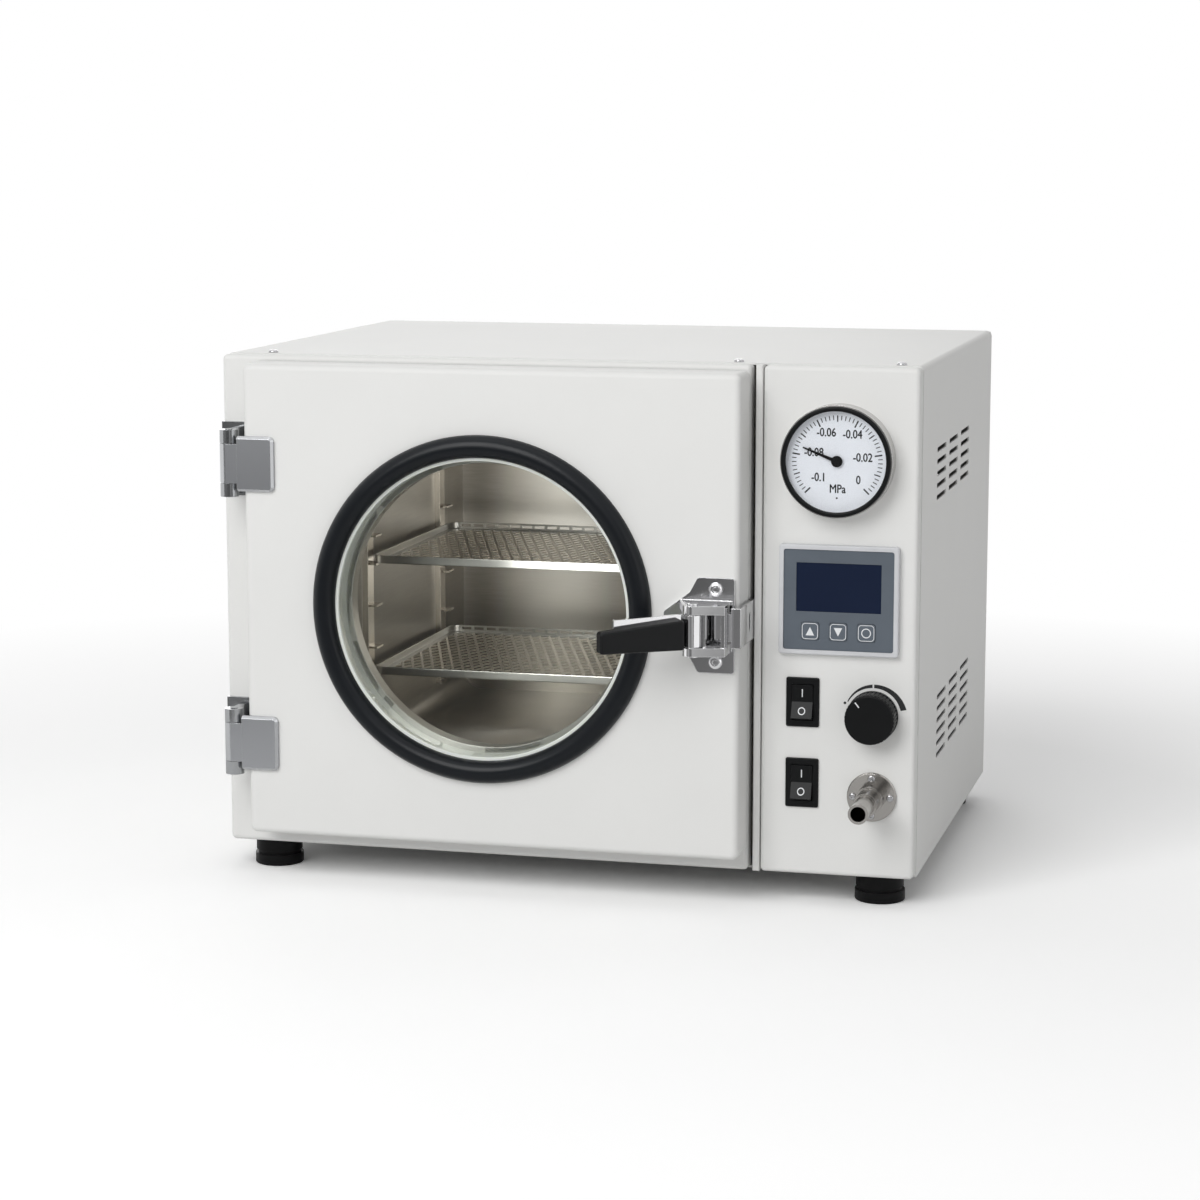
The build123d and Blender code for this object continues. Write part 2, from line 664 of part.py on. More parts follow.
seal_lip = DOOR_GAP + SHEET - SEAL_CLEAR
with BuildPart() as door_seal:
    with BuildSketch(face(-SHEET - SEAL_SUNK)):
        with Locations(chamber_middle):
            RectangleRounded(
                CHAMBER_W + 2 * seal_out, CHAMBER_H + 2 * seal_out, CHAMBER_CORNER_R + seal_out
            )
            RectangleRounded(
                CHAMBER_W + 2 * SEAL_MARGIN,
                CHAMBER_H + 2 * SEAL_MARGIN,
                CHAMBER_CORNER_R + SEAL_MARGIN,
                mode=Mode.SUBTRACT,
            )
    extrude(amount=SEAL_SUNK + seal_lip)
    fillet(door_seal.faces().sort_by(Axis.Y)[0].edges(), SEAL_LIP_R)
door_seal.part.label = "door_seal"
export_step(door_seal.part, "parts/door_seal.step")

mat_d = CHAMBER_D - 2 * MAT_EDGE
mat_y = mouth_y + CHAMBER_D / 2
side_x = CHAMBER_W / 2 + CHAMBER_WALL + MAT_T / 2
side_z = CHAMBER_H / 2 + CHAMBER_WALL + MAT_T / 2
with BuildPart() as heater_mats:
    with Locations((WINDOW_CX - side_x, mat_y, WINDOW_Z), (WINDOW_CX + side_x, mat_y, WINDOW_Z)):
        Box(MAT_T, mat_d, CHAMBER_H - 4 * MAT_EDGE)
    with Locations((WINDOW_CX, mat_y, WINDOW_Z - side_z), (WINDOW_CX, mat_y, WINDOW_Z + side_z)):
        Box(CHAMBER_W - 2 * MAT_EDGE, mat_d, MAT_T)
heater_mats.part.label = "heater_mats"
export_step(heater_mats.part, "parts/heater_mats.step")

wool_grow = CHAMBER_WALL + MAT_T + WOOL_CLEAR
wool_x0 = LEFT + 2 * SHEET + WOOL_CLEAR
wool_x1 = BULKHEAD_X - WOOL_CLEAR
wool_z0 = BOTTOM + 2 * SHEET + WOOL_CLEAR
wool_z1 = TOP - 2 * SHEET - WOOL_CLEAR
wool_y1 = BACK_Y - WOOL_BACK
chamber_back_y = mouth_y + CHAMBER_D + CHAMBER_WALL
with BuildPart() as insulation:
    with BuildSketch(face(-WOOL_FRONT)):
        with Locations((wool_x0, wool_z0)):
            Rectangle(wool_x1 - wool_x0, wool_z1 - wool_z0, align=Align.MIN)
    extrude(amount=-(wool_y1 - FRONT_Y - WOOL_FRONT))
    with BuildSketch(face(-WOOL_FRONT)):
        with Locations(chamber_middle):
            RectangleRounded(
                CHAMBER_W + 2 * wool_grow, CHAMBER_H + 2 * wool_grow, CHAMBER_CORNER_R
            )
    extrude(amount=-(chamber_back_y - FRONT_Y - WOOL_FRONT), mode=Mode.SUBTRACT)
    with BuildSketch(Plane.YZ.offset(CHAMBER_RIGHT)):
        with Locations((FRONT_Y + PIPE_DEPTH, BOTTOM + PIPE_Z)):
            Circle(PIPE_R + WOOL_CLEAR)
        with Locations((FRONT_Y + PROBE_DEPTH, BOTTOM + PROBE_Z)):
            Circle(PROBE_R)
    extrude(amount=wool_x1 - CHAMBER_RIGHT, mode=Mode.SUBTRACT)
insulation.part.label = "insulation"
export_step(insulation.part, "parts/insulation.step")

probe_x0 = WINDOW_CX + side_x + MAT_T / 2
with BuildPart() as temperature_probe:
    with BuildSketch(Plane.YZ.offset(probe_x0)):
        with Locations((FRONT_Y + PROBE_DEPTH, BOTTOM + PROBE_Z)):
            Circle(PROBE_R)
    extrude(amount=BULKHEAD_X + 4 * SHEET - probe_x0)
    with BuildSketch(Plane.YZ.offset(BULKHEAD_X + SHEET)):
        with Locations((FRONT_Y + PROBE_DEPTH, BOTTOM + PROBE_Z)):
            RegularPolygon(2 * PROBE_R, 6)
    extrude(amount=3 * SHEET)
temperature_probe.part.label = "temperature_probe"
export_step(temperature_probe.part, "parts/temperature_probe.step")

# Shelf uprights: a strip against the wall, a folded rib, and hooks cut along it.
hook_hs = (
    LOWER_SHELF_H,
    LOWER_SHELF_H + SPARE_HOOK_STEP,
    LOWER_SHELF_H + SHELF_STEP - 1.5 * SPARE_HOOK_STEP,
    LOWER_SHELF_H + SHELF_STEP,
    LOWER_SHELF_H + SHELF_STEP + SPARE_HOOK_STEP,
)
upright_h = CHAMBER_H - 2 * (CHAMBER_CORNER_R + UPRIGHT_FOOT)
with BuildPart() as shelf_uprights:
    for wall_x, inward in ((CHAMBER_LEFT, 1), (CHAMBER_RIGHT, -1)):
        for depth in (FRONT_UPRIGHT_Y, REAR_UPRIGHT_Y):
            strip_y = mouth_y + depth
            strip_x = wall_x + inward * UPRIGHT_T / 2
            with Locations((strip_x, strip_y, WINDOW_Z)):
                Box(UPRIGHT_T, UPRIGHT_W, upright_h)
            rib_x = wall_x + inward * UPRIGHT_RIB / 2
            rib_y = strip_y - UPRIGHT_W / 2 + UPRIGHT_T / 2
            with Locations((rib_x, rib_y, WINDOW_Z)):
                Box(UPRIGHT_RIB, UPRIGHT_T, upright_h)
            for hook in hook_hs:
                hook_x = wall_x + inward * HOOK_REACH / 2
                hook_z = CHAMBER_FLOOR + hook - HOOK_T / 2
                with Locations((hook_x, strip_y, hook_z)):
                    Box(HOOK_REACH, UPRIGHT_W * 0.6, HOOK_T)
shelf_uprights.part.label = "shelf_uprights"
export_step(shelf_uprights.part, "parts/shelf_uprights.step")

shelf_y0 = mouth_y + SHELF_SETBACK
columns = int((SHELF_W - DIAMOND_PITCH) / DIAMOND_PITCH)
rows = int((SHELF_D - DIAMOND_PITCH) / DIAMOND_PITCH)
for shelf_name, step in (("lower_shelf", 0), ("upper_shelf", SHELF_STEP)):
    shelf_z = CHAMBER_FLOOR + LOWER_SHELF_H + step + SHELF_LIFT
    with BuildPart() as shelf:
        with BuildSketch(Plane.XY.offset(shelf_z)):
            with Locations((WINDOW_CX, shelf_y0 + SHELF_D / 2)):
                RectangleRounded(SHELF_W, SHELF_D, SHELF_CORNER_R)
        extrude(amount=SHELF_RIM)
        offset(amount=-SHELF_GAUGE, openings=shelf.faces().sort_by(Axis.Z)[-1])
        with BuildSketch(Plane.XY.offset(shelf_z)):
            with Locations((WINDOW_CX, shelf_y0 + SHELF_D / 2)):
                with GridLocations(DIAMOND_PITCH, DIAMOND_PITCH, columns, rows):
                    RegularPolygon(DIAMOND / 2, 4)
        extrude(amount=SHELF_GAUGE, mode=Mode.SUBTRACT)
        with BuildSketch(Plane.XZ.offset(-shelf_y0 - SHELF_D)):
            with Locations((WINDOW_CX, shelf_z + SHELF_RIM * 0.6)):
                with GridLocations(SLOT_PITCH, 0, columns - 2, 1):
                    SlotOverall(SLOT_L, SLOT_T)
        extrude(amount=2 * SHELF_GAUGE, mode=Mode.SUBTRACT)
    shelf.part.label = shelf_name
    export_step(shelf.part, f"parts/{shelf_name}.step")

# ==== door ================================================================================
door_w = DOOR_X1 - DOOR_X0
door_h = DOOR_Z1 - DOOR_Z0
door_middle = ((DOOR_X0 + DOOR_X1) / 2, (DOOR_Z0 + DOOR_Z1) / 2)
sleeve_r = GLASS_R + SLEEVE_T
latch_screw_at = [(LATCH_X + LATCH_SCREW_X, LATCH_MID + dz) for dz in (-LATCH_SCREW_Z, LATCH_SCREW_Z)]
with BuildPart() as door_shell:
    with BuildSketch(face(DOOR_GAP)):
        with Locations(door_middle):
            RectangleRounded(door_w, door_h, DOOR_EDGE_R)
    extrude(amount=DOOR_T)
    fillet(door_shell.faces().sort_by(Axis.Y)[0].edges(), DOOR_EDGE_R - 0.5)
    offset(amount=-DOOR_SHEET, openings=door_shell.faces().sort_by(Axis.Y)[-1])
    with BuildSketch(face(DOOR_FRONT)):
        with Locations(chamber_middle):
            Circle(sleeve_r)
        with Locations(latch_screw_at):
            Circle(SCREW_R)
    extrude(amount=-2 * DOOR_SHEET, mode=Mode.SUBTRACT)
door_shell.part.label = "door_shell"
export_step(door_shell.part, "parts/door_shell.step")

with BuildPart() as door_liner:
    with BuildSketch(face(DOOR_GAP)):
        with Locations(door_middle):
            RectangleRounded(
                door_w - 2 * DOOR_SHEET, door_h - 2 * DOOR_SHEET, DOOR_EDGE_R - DOOR_SHEET
            )
        with Locations(chamber_middle):
            Circle(GLASS_R, mode=Mode.SUBTRACT)
            with PolarLocations((GLASS_R + RETAINER_OUT_R) / 2, RETAINER_SCREWS):
                Circle(SCREW_R, mode=Mode.SUBTRACT)
    extrude(amount=LINER_T)
door_liner.part.label = "door_liner"
export_step(door_liner.part, "parts/door_liner.step")

glass_front = DOOR_FRONT - SLEEVE_LIP_T
glass_back = glass_front - GLASS_T
with BuildPart() as window_sleeve:
    with BuildSketch(face(DOOR_GAP + LINER_T)):
        with Locations(chamber_middle):
            Circle(sleeve_r)
            Circle(GLASS_R, mode=Mode.SUBTRACT)
    extrude(amount=DOOR_T - LINER_T)
    with BuildSketch(face(glass_front)):
        with Locations(chamber_middle):
            Circle(sleeve_r)
            Circle(GLASS_R - SLEEVE_LIP, mode=Mode.SUBTRACT)
    extrude(amount=SLEEVE_LIP_T)
window_sleeve.part.label = "window_sleeve"
export_step(window_sleeve.part, "parts/window_sleeve.step")

with BuildPart() as window_glass:
    with BuildSketch(face(glass_back)):
        with Locations(chamber_middle):
            Circle(GLASS_R)
    extrude(amount=GLASS_T)
window_glass.part.label = "window_glass"
export_step(window_glass.part, "parts/window_glass.step")

trim_mid = (TRIM_OUT_R + TRIM_IN_R) / 2
trim_half = (TRIM_OUT_R - TRIM_IN_R) / 2
window_axis = Plane(
    origin=(WINDOW_CX, FRONT_Y, WINDOW_Z), x_dir=(1, 0, 0), z_dir=(0, 0, 1)
)
with BuildPart() as window_trim:
    with BuildSketch(window_axis):
        with Locations((trim_mid, -DOOR_FRONT)):
            Ellipse(trim_half, TRIM_H)
            Rectangle(
                2 * TRIM_OUT_R, 2 * TRIM_H, align=(Align.CENTER, Align.MIN), mode=Mode.SUBTRACT
            )
    revolve(axis=Axis((WINDOW_CX, FRONT_Y, WINDOW_Z), (0, -1, 0)), revolution_arc=360)
window_trim.part.label = "window_trim"
export_step(window_trim.part, "parts/window_trim.step")

with BuildPart() as glass_retainer:
    with BuildSketch(face(DOOR_GAP)):
        with Locations(chamber_middle):
            Circle(RETAINER_OUT_R)
            Circle(RETAINER_IN_R, mode=Mode.SUBTRACT)
            with PolarLocations((GLASS_R + RETAINER_OUT_R) / 2, RETAINER_SCREWS):
                Circle(SCREW_R, mode=Mode.SUBTRACT)
    extrude(amount=-RETAINER_T)
    with BuildSketch(face(DOOR_GAP)):
        with Locations(chamber_middle):
            Circle(GLASS_R)
            Circle(RETAINER_IN_R, mode=Mode.SUBTRACT)
    extrude(amount=glass_back - DOOR_GAP)
glass_retainer.part.label = "glass_retainer"
export_step(glass_retainer.part, "parts/glass_retainer.step")

retainer_screw = screw(SCREW_HEAD_R * 0.75, SCREW_HEAD_H * 0.6, SCREW_R, LINER_T + RETAINER_T)
with BuildPart() as retainer_screws:
    for turn in range(RETAINER_SCREWS):
        angle = math.radians(turn * 360 / RETAINER_SCREWS)
        reach = (GLASS_R + RETAINER_OUT_R) / 2
        x = WINDOW_CX + reach * math.cos(angle)
        z = WINDOW_Z + reach * math.sin(angle)
        add(Pos(x, FRONT_Y - DOOR_GAP + RETAINER_T, z) * Rot(-90, 0, 0) * retainer_screw)
retainer_screws.part.label = "retainer_screws"
export_step(retainer_screws.part, "parts/retainer_screws.step")

# ==== hinges ================================================================================
leaf_x1 = DOOR_X0 + LEAF_IN
mid_gap = KNUCKLE_MID / 2 + KNUCKLE_GAP
for hinge_name, height in (("upper", UPPER_HINGE_Z), ("lower", LOWER_HINGE_Z)):
    hinge_z = BOTTOM + height
    knuckle_plane = Plane.XY.offset(hinge_z)
    with BuildPart() as frame_leaf:
        with BuildSketch(face()):
            with Locations((LEFT + FACE_INSET, hinge_z)):
                Rectangle(HINGE_BASE_W, HINGE_H, align=(Align.MIN, Align.CENTER))
        extrude(amount=HINGE_BASE_T)
        with BuildSketch(Plane.XY.offset(hinge_z - mid_gap - KNUCKLE_END)):
            with Locations((HINGE_X, HINGE_Y)):
                Circle(KNUCKLE_R)
                Rectangle(HINGE_WEB_T, HINGE_OUT, align=(Align.CENTER, Align.MIN))
        extrude(amount=2 * (mid_gap + KNUCKLE_END))
        with BuildSketch(Plane.XY.offset(hinge_z - mid_gap)):
            with Locations((HINGE_X, HINGE_Y)):
                Circle(KNUCKLE_R + 2 * KNUCKLE_GAP)
        extrude(amount=2 * mid_gap, mode=Mode.SUBTRACT)
        with BuildSketch(Plane.XY.offset(hinge_z - HINGE_H)):
            with Locations((HINGE_X, HINGE_Y)):
                Circle(PIN_R + PRESS_GAP)
        extrude(amount=2 * HINGE_H, mode=Mode.SUBTRACT)
    frame_leaf.part.label = f"{hinge_name}_hinge_frame_leaf"
    export_step(frame_leaf.part, f"parts/{hinge_name}_hinge_frame_leaf.step")

    with BuildPart() as door_leaf:
        with BuildSketch(face(DOOR_FRONT)) as leaf_plate:
            with Locations((DOOR_X0 - 4, hinge_z)):
                Rectangle(LEAF_IN + 4, LEAF_H, align=(Align.MIN, Align.CENTER))
            fillet(leaf_plate.vertices().group_by(Axis.X)[-1], LEAF_CORNER_R)
        extrude(amount=LEAF_T)
        chamfer(
            door_leaf.faces().sort_by(Axis.Y)[0].edges().sort_by(Axis.X)[1:], LEAF_BEVEL
        )
        with BuildSketch(Plane.XY.offset(hinge_z - KNUCKLE_MID / 2)):
            with Locations((HINGE_X, HINGE_Y)):
                Circle(KNUCKLE_R)
            with Locations((HINGE_X, FRONT_Y - DOOR_FRONT)):
                Rectangle(
                    HINGE_OFF_X, KNUCKLE_R + HINGE_OUT - DOOR_FRONT, align=(Align.MIN, Align.MAX)
                )
        extrude(amount=KNUCKLE_MID)
        with BuildSketch(Plane.XY.offset(hinge_z - KNUCKLE_MID)):
            with Locations((HINGE_X, HINGE_Y)):
                Circle(PIN_R + RUNNING)
        extrude(amount=2 * KNUCKLE_MID, mode=Mode.SUBTRACT)
    door_leaf.part.label = f"{hinge_name}_hinge_door_leaf"
    export_step(door_leaf.part, f"parts/{hinge_name}_hinge_door_leaf.step")

with BuildPart() as hinge_pins:
    for height in (UPPER_HINGE_Z, LOWER_HINGE_Z):
        with Locations((HINGE_X, HINGE_Y, BOTTOM + height)):
            Cylinder(PIN_R, 2 * (mid_gap + KNUCKLE_END) + 1)
hinge_pins.part.label = "hinge_pins"
export_step(hinge_pins.part, "parts/hinge_pins.step")

# ==== latch =================================================================================
plate_front = DOOR_FRONT + LATCH_PLATE_T
lug_inner = LEVER_H + LUG_GAP
housing_reach = LATCH_OUT + HOUSING_RIM
bolt_back = plate_front + BOLT_CLEAR
bolt_front = bolt_back + BOLT_T
strike_x = DOOR_X1 + STRIKE_GAP
wing_outline = [
    (LATCH_PLATE_RIGHT, LATCH_TAB_H),
    (LATCH_TAB_LEFT, LATCH_TAB_H),
    (LATCH_NECK, LATCH_NECK_H),
    (-LATCH_WING, LATCH_WING_H),
]
wing_outline += [(x, -z) for x, z in reversed(wing_outline)]
with BuildPart() as latch_base:
    with BuildSketch(face(DOOR_FRONT)) as plate:
        with Locations((LATCH_X, LATCH_MID)):
            Polygon(*wing_outline, align=None)
        fillet(plate.vertices(), 2.5)
        with Locations((LATCH_X + LATCH_SCREW_X, LATCH_MID + LATCH_SCREW_Z)):
            SlotOverall(12, 2 * SCREW_R, mode=Mode.SUBTRACT)
        with Locations((LATCH_X + LATCH_SCREW_X, LATCH_MID - LATCH_SCREW_Z)):
            Circle(SCREW_R, mode=Mode.SUBTRACT)
    extrude(amount=LATCH_PLATE_T)
    for low in (-LUG_H, lug_inner):
        with BuildSketch(Plane.XY.offset(LATCH_MID + low)):
            with Locations((LATCH_X, LATCH_Y)):
                Circle(BARREL_R)
            with Locations((LATCH_X + HOUSING_RIGHT, FRONT_Y - DOOR_FRONT)):
                Rectangle(
                    HOUSING_RIGHT + 2 * BARREL_R, LATCH_PLATE_T, align=(Align.MAX, Align.MAX)
                )
            with Locations((LATCH_X + HOUSING_RIGHT, FRONT_Y - housing_reach)):
                Rectangle(HOUSING_WALL, HOUSING_WALL, align=(Align.MAX, Align.MIN))
            make_hull()
        extrude(amount=LUG_H - lug_inner)
    with BuildSketch(Plane.XY.offset(LATCH_MID - LUG_H)):
        with Locations((LATCH_X + HOUSING_RIGHT, FRONT_Y - DOOR_FRONT)):
            Rectangle(HOUSING_WALL, housing_reach - DOOR_FRONT, align=(Align.MAX, Align.MAX))
        with Locations((LATCH_X + BARREL_R + HOUSING_RIM_GAP, FRONT_Y - housing_reach)):
            Rectangle(HOUSING_RIM, HOUSING_RIM_D, align=Align.MIN)
    extrude(amount=2 * LUG_H)
    with BuildSketch(face(housing_reach)):
        with Locations((LATCH_X + BARREL_R + HOUSING_RIM_GAP + HOUSING_RIM, LATCH_MID)):
            Rectangle(
                HOUSING_RIGHT - HOUSING_WALL - HOUSING_RIM - HOUSING_RIM_GAP - BARREL_R,
                2 * LUG_H - 2 * HOUSING_WALL,
                align=(Align.MIN, Align.CENTER),
            )
    extrude(amount=plate_front - housing_reach, mode=Mode.SUBTRACT)
    with BuildSketch(face(plate_front)):
        with Locations((LATCH_X + HOUSING_RIGHT, LATCH_MID)):
            Rectangle(4 * HOUSING_WALL, 2 * BOLT_H + 2 * BOLT_CLEAR)
    extrude(amount=BOLT_T + 2 * BOLT_CLEAR, mode=Mode.SUBTRACT)
    with BuildSketch(Plane.XY.offset(LATCH_MID - LUG_H)):
        with Locations((LATCH_X, LATCH_Y)):
            Circle(LATCH_PIN_R + PRESS_GAP)
    extrude(amount=2 * LUG_H, mode=Mode.SUBTRACT)
latch_base.part.label = "latch_base"
export_step(latch_base.part, "parts/latch_base.step")

latch_screw = screw(LATCH_HEAD_R, LATCH_HEAD_H, SCREW_R, LATCH_PLATE_T + 2 * DOOR_SHEET)
with BuildPart() as latch_screws:
    for x, z in latch_screw_at:
        add(Pos(x, FRONT_Y - plate_front, z) * Rot(90, 0, 0) * latch_screw)
latch_screws.part.label = "latch_screws"
export_step(latch_screws.part, "parts/latch_screws.step")

with BuildPart() as latch_pin:
    with Locations((LATCH_X, LATCH_Y, LATCH_MID)):
        Cylinder(LATCH_PIN_R, 2 * LUG_H)
    for end, align in ((LUG_H, Align.MIN), (-LUG_H, Align.MAX)):
        with Locations((LATCH_X, LATCH_Y, LATCH_MID + end)):
            Cylinder(LATCH_PIN_R * 1.5, 1.2, align=(Align.CENTER, Align.CENTER, align))
latch_pin.part.label = "latch_pin"
export_step(latch_pin.part, "parts/latch_pin.step")

along = (-math.cos(lean), -math.sin(lean))
outward = (math.sin(lean), -math.cos(lean))


def lever_side(out):
    """A plane along the lever, this far from its axis on the user's side."""
    origin = (LATCH_X + out * outward[0], LATCH_Y + out * outward[1], LATCH_MID)
    return Plane(origin=origin, x_dir=(*along, 0), z_dir=(-outward[0], -outward[1], 0))


finger_turn = 90 - LEVER_TRAVEL / 2
finger_x = FINGER_L * math.cos(math.radians(finger_turn))
finger_y = FINGER_L * math.sin(math.radians(finger_turn))
with BuildPart() as lever_arm:
    with BuildSketch(lever_side(ARM_T - ARM_BACK)):
        Polygon(
            (0, -LEVER_H), (ARM_L, -LEVER_H), (ARM_L, LEVER_H - 2), (0, LEVER_H), align=None
        )
    extrude(amount=ARM_T)
    fillet(lever_arm.edges().filter_by(lambda e: abs(e.length - ARM_T) < 0.01), 1.2)
    with BuildSketch(Plane.XY.offset(LATCH_MID - LEVER_H)):
        with Locations((LATCH_X, LATCH_Y)):
            Circle(BARREL_R)
    extrude(amount=2 * LEVER_H)
    with BuildSketch(Plane.XY.offset(LATCH_MID - FINGER_H)):
        with Locations((LATCH_X + finger_x / 2, LATCH_Y + finger_y / 2)):
            Rectangle(FINGER_L, FINGER_T, rotation=finger_turn)
        with Locations((LATCH_X + finger_x, LATCH_Y + finger_y)):
            Circle(FINGER_T / 2)
    extrude(amount=2 * FINGER_H)
    with BuildSketch(Plane.XY.offset(LATCH_MID - LEVER_H)):
        with Locations((LATCH_X, LATCH_Y)):
            Circle(LATCH_PIN_R + RUNNING)
    extrude(amount=2 * LEVER_H, mode=Mode.SUBTRACT)
lever_arm.part.label = "lever_arm"
export_step(lever_arm.part, "parts/lever_arm.step")

with BuildPart() as lever_grip:
    with BuildSketch(lever_side(grip_front)):
        Polygon(
            (GRIP_START, -GRIP_DROP),
            (grip_end, -GRIP_DROP),
            (grip_end, GRIP_TIP_H - GRIP_DROP),
            (GRIP_START, GRIP_ROOT_H - GRIP_DROP),
            align=None,
        )
    extrude(amount=GRIP_T)
    fillet(lever_grip.edges().filter_by(lambda e: abs(e.length - GRIP_T) < 0.01), GRIP_R)
    fillet(lever_grip.faces().sort_by(Axis((0, 0, 0), (*outward, 0)))[-1].edges(), GRIP_R - 0.3)
lever_grip.part.label = "lever_grip"
export_step(lever_grip.part, "parts/lever_grip.step")

bolt_x0 = LATCH_X + finger_x - BOLT_SLOT - BOLT_TAIL
bolt_x1 = strike_x - BOLT_CLEAR
with BuildPart() as latch_bolt:
    with BuildSketch(face(bolt_back)):
        with Locations((bolt_x0, LATCH_MID)):
            Rectangle(bolt_x1 - bolt_x0, 2 * BOLT_H, align=(Align.MIN, Align.CENTER))
        with Locations((LATCH_X + finger_x, LATCH_MID)):
            Rectangle(
                2 * BOLT_SLOT, 2 * FINGER_H + 2 * BOLT_CLEAR, mode=Mode.SUBTRACT
            )
    extrude(amount=BOLT_T)
    chamfer(
        latch_bolt.faces().sort_by(Axis.X)[-1].edges().sort_by(Axis.Y)[-1], BOLT_BEVEL
    )
latch_bolt.part.label = "latch_bolt"
export_step(latch_bolt.part, "parts/latch_bolt.step")

with BuildPart() as latch_strike:
    with BuildSketch(Plane.XY.offset(LATCH_MID - STRIKE_H / 2)):
        strike_end = bolt_front + STRIKE_BITE + STRIKE_T
        with Locations((strike_x + STRIKE_T, FRONT_Y + SHEET + STRIKE_T)):
            Rectangle(STRIKE_T, SHEET + STRIKE_T + strike_end, align=Align.MAX)
            Rectangle(STRIKE_FOOT, STRIKE_T, align=Align.MAX)
        with Locations((strike_x + STRIKE_T, FRONT_Y - strike_end)):
            Rectangle(STRIKE_HOOK, STRIKE_T, align=(Align.MAX, Align.MIN))
    extrude(amount=STRIKE_H)
    with BuildSketch(Plane.YZ.offset(strike_x)):
        with Locations((FRONT_Y - STRIKE_SLOT_OUT, LATCH_MID)):
            SlotOverall(STRIKE_H / 2, 2 * STRIKE_T, rotation=90)
    extrude(amount=STRIKE_T, mode=Mode.SUBTRACT)
    with BuildSketch(face()):
        with Locations((strike_x - STRIKE_FOOT / 2, LATCH_MID)):
            with GridLocations(0, STRIKE_H / 2, 1, 2):
                Circle(SCREW_R)
    extrude(amount=-4 * SHEET, mode=Mode.SUBTRACT)
latch_strike.part.label = "latch_strike"
export_step(latch_strike.part, "parts/latch_strike.step")

strike_screws = [
    (strike_x - STRIKE_FOOT / 2, FRONT_Y + SHEET + STRIKE_T, LATCH_MID + dz)
    for dz in (-STRIKE_H / 4, STRIKE_H / 4)
]
with BuildPart() as cabinet_screws:
    for x in COVER_SCREW_XS:
        add(Pos(x, COVER_SCREW_Y, TOP) * cover_screw)
    for x, z in rear_screws:
        add(Pos(x, BACK_Y, z) * Rot(-90, 0, 0) * cover_screw)
    for place in strike_screws:
        add(Pos(*place) * Rot(-90, 0, 0) * strike_screw)
    for dx in (-INLET_SCREW_PITCH / 2, INLET_SCREW_PITCH / 2):
        sunk_y = BACK_Y + INLET_FLANGE_T - SHEET
        add(Pos(INLET_X + dx, sunk_y, inlet_z) * Rot(-90, 0, 0) * inlet_screw)
cabinet_screws.part.label = "cabinet_screws"
export_step(cabinet_screws.part, "parts/cabinet_screws.step")

# ==== vacuum gauge ============================================================================
gauge_at = (GAUGE_X, BOTTOM + GAUGE_Z)
glass_seat = GAUGE_OUT - GAUGE_RING_T
dial_front = GAUGE_OUT - DIAL_DEPTH
cavity_r = GAUGE_R - GAUGE_WALL
ring_r = GAUGE_R - GAUGE_LIP
stem_depth = 2 * GAUGE_BODY_D
with BuildPart() as gauge_case:
    with BuildSketch(face()):
        with Locations(gauge_at):
            Circle(GAUGE_R)
    extrude(amount=glass_seat)
    with BuildSketch(face()):
        with Locations(gauge_at):
            Circle(GAUGE_BODY_R)
    extrude(amount=-GAUGE_BODY_D)
    with BuildSketch(face()):
        with Locations(gauge_at):
            Circle(2 * GAUGE_PIPE_R)
    extrude(amount=-stem_depth)
    with BuildSketch(face(glass_seat)):
        with Locations(gauge_at):
            Circle(cavity_r)
    extrude(amount=dial_front - DIAL_T - glass_seat, mode=Mode.SUBTRACT)
    with BuildSketch(face(glass_seat)):
        with Locations(gauge_at):
            Circle(SPINDLE_R + RUNNING)
    extrude(amount=-GAUGE_OUT, mode=Mode.SUBTRACT)
gauge_case.part.label = "gauge_case"
export_step(gauge_case.part, "parts/gauge_case.step")

with BuildPart() as gauge_ring:
    with BuildSketch(face(glass_seat)):
        with Locations(gauge_at):
            Circle(ring_r)
            Circle(ring_r - GAUGE_RING_W, mode=Mode.SUBTRACT)
    extrude(amount=GAUGE_RING_T)
    fillet(gauge_ring.faces().sort_by(Axis.Y)[0].edges(), GAUGE_RING_T * 0.45)
gauge_ring.part.label = "gauge_ring"
export_step(gauge_ring.part, "parts/gauge_ring.step")

with BuildPart() as gauge_dial:
    with BuildSketch(face(dial_front)):
        with Locations(gauge_at):
            Circle(cavity_r)
            Circle(SPINDLE_R + RUNNING, mode=Mode.SUBTRACT)
    extrude(amount=-DIAL_T)
gauge_dial.part.label = "gauge_dial"
export_step(gauge_dial.part, "parts/gauge_dial.step")

with BuildPart() as gauge_lens:
    with BuildSketch(face(glass_seat)):
        with Locations(gauge_at):
            Circle(cavity_r)
    extrude(amount=-LENS_T)
gauge_lens.part.label = "gauge_lens"
export_step(gauge_lens.part, "parts/gauge_lens.step")

with BuildPart() as gauge_needle:
    with BuildSketch(face(dial_front + 2 * NEEDLE_T)):
        with Locations(gauge_at):
            Polygon(
                (NEEDLE_L, NEEDLE_TIP),
                (-NEEDLE_TAIL, NEEDLE_ROOT),
                (-NEEDLE_TAIL, -NEEDLE_ROOT),
                (NEEDLE_L, -NEEDLE_TIP),
                rotation=NEEDLE_REST,
                align=None,
            )
            Circle(HUB_R)
    extrude(amount=NEEDLE_T)
    with BuildSketch(face(dial_front + 3 * NEEDLE_T)):
        with Locations(gauge_at):
            Circle(SPINDLE_R)
    extrude(amount=-3 * NEEDLE_T - 3 * DIAL_T)
gauge_needle.part.label = "gauge_needle"
export_step(gauge_needle.part, "parts/gauge_needle.step")

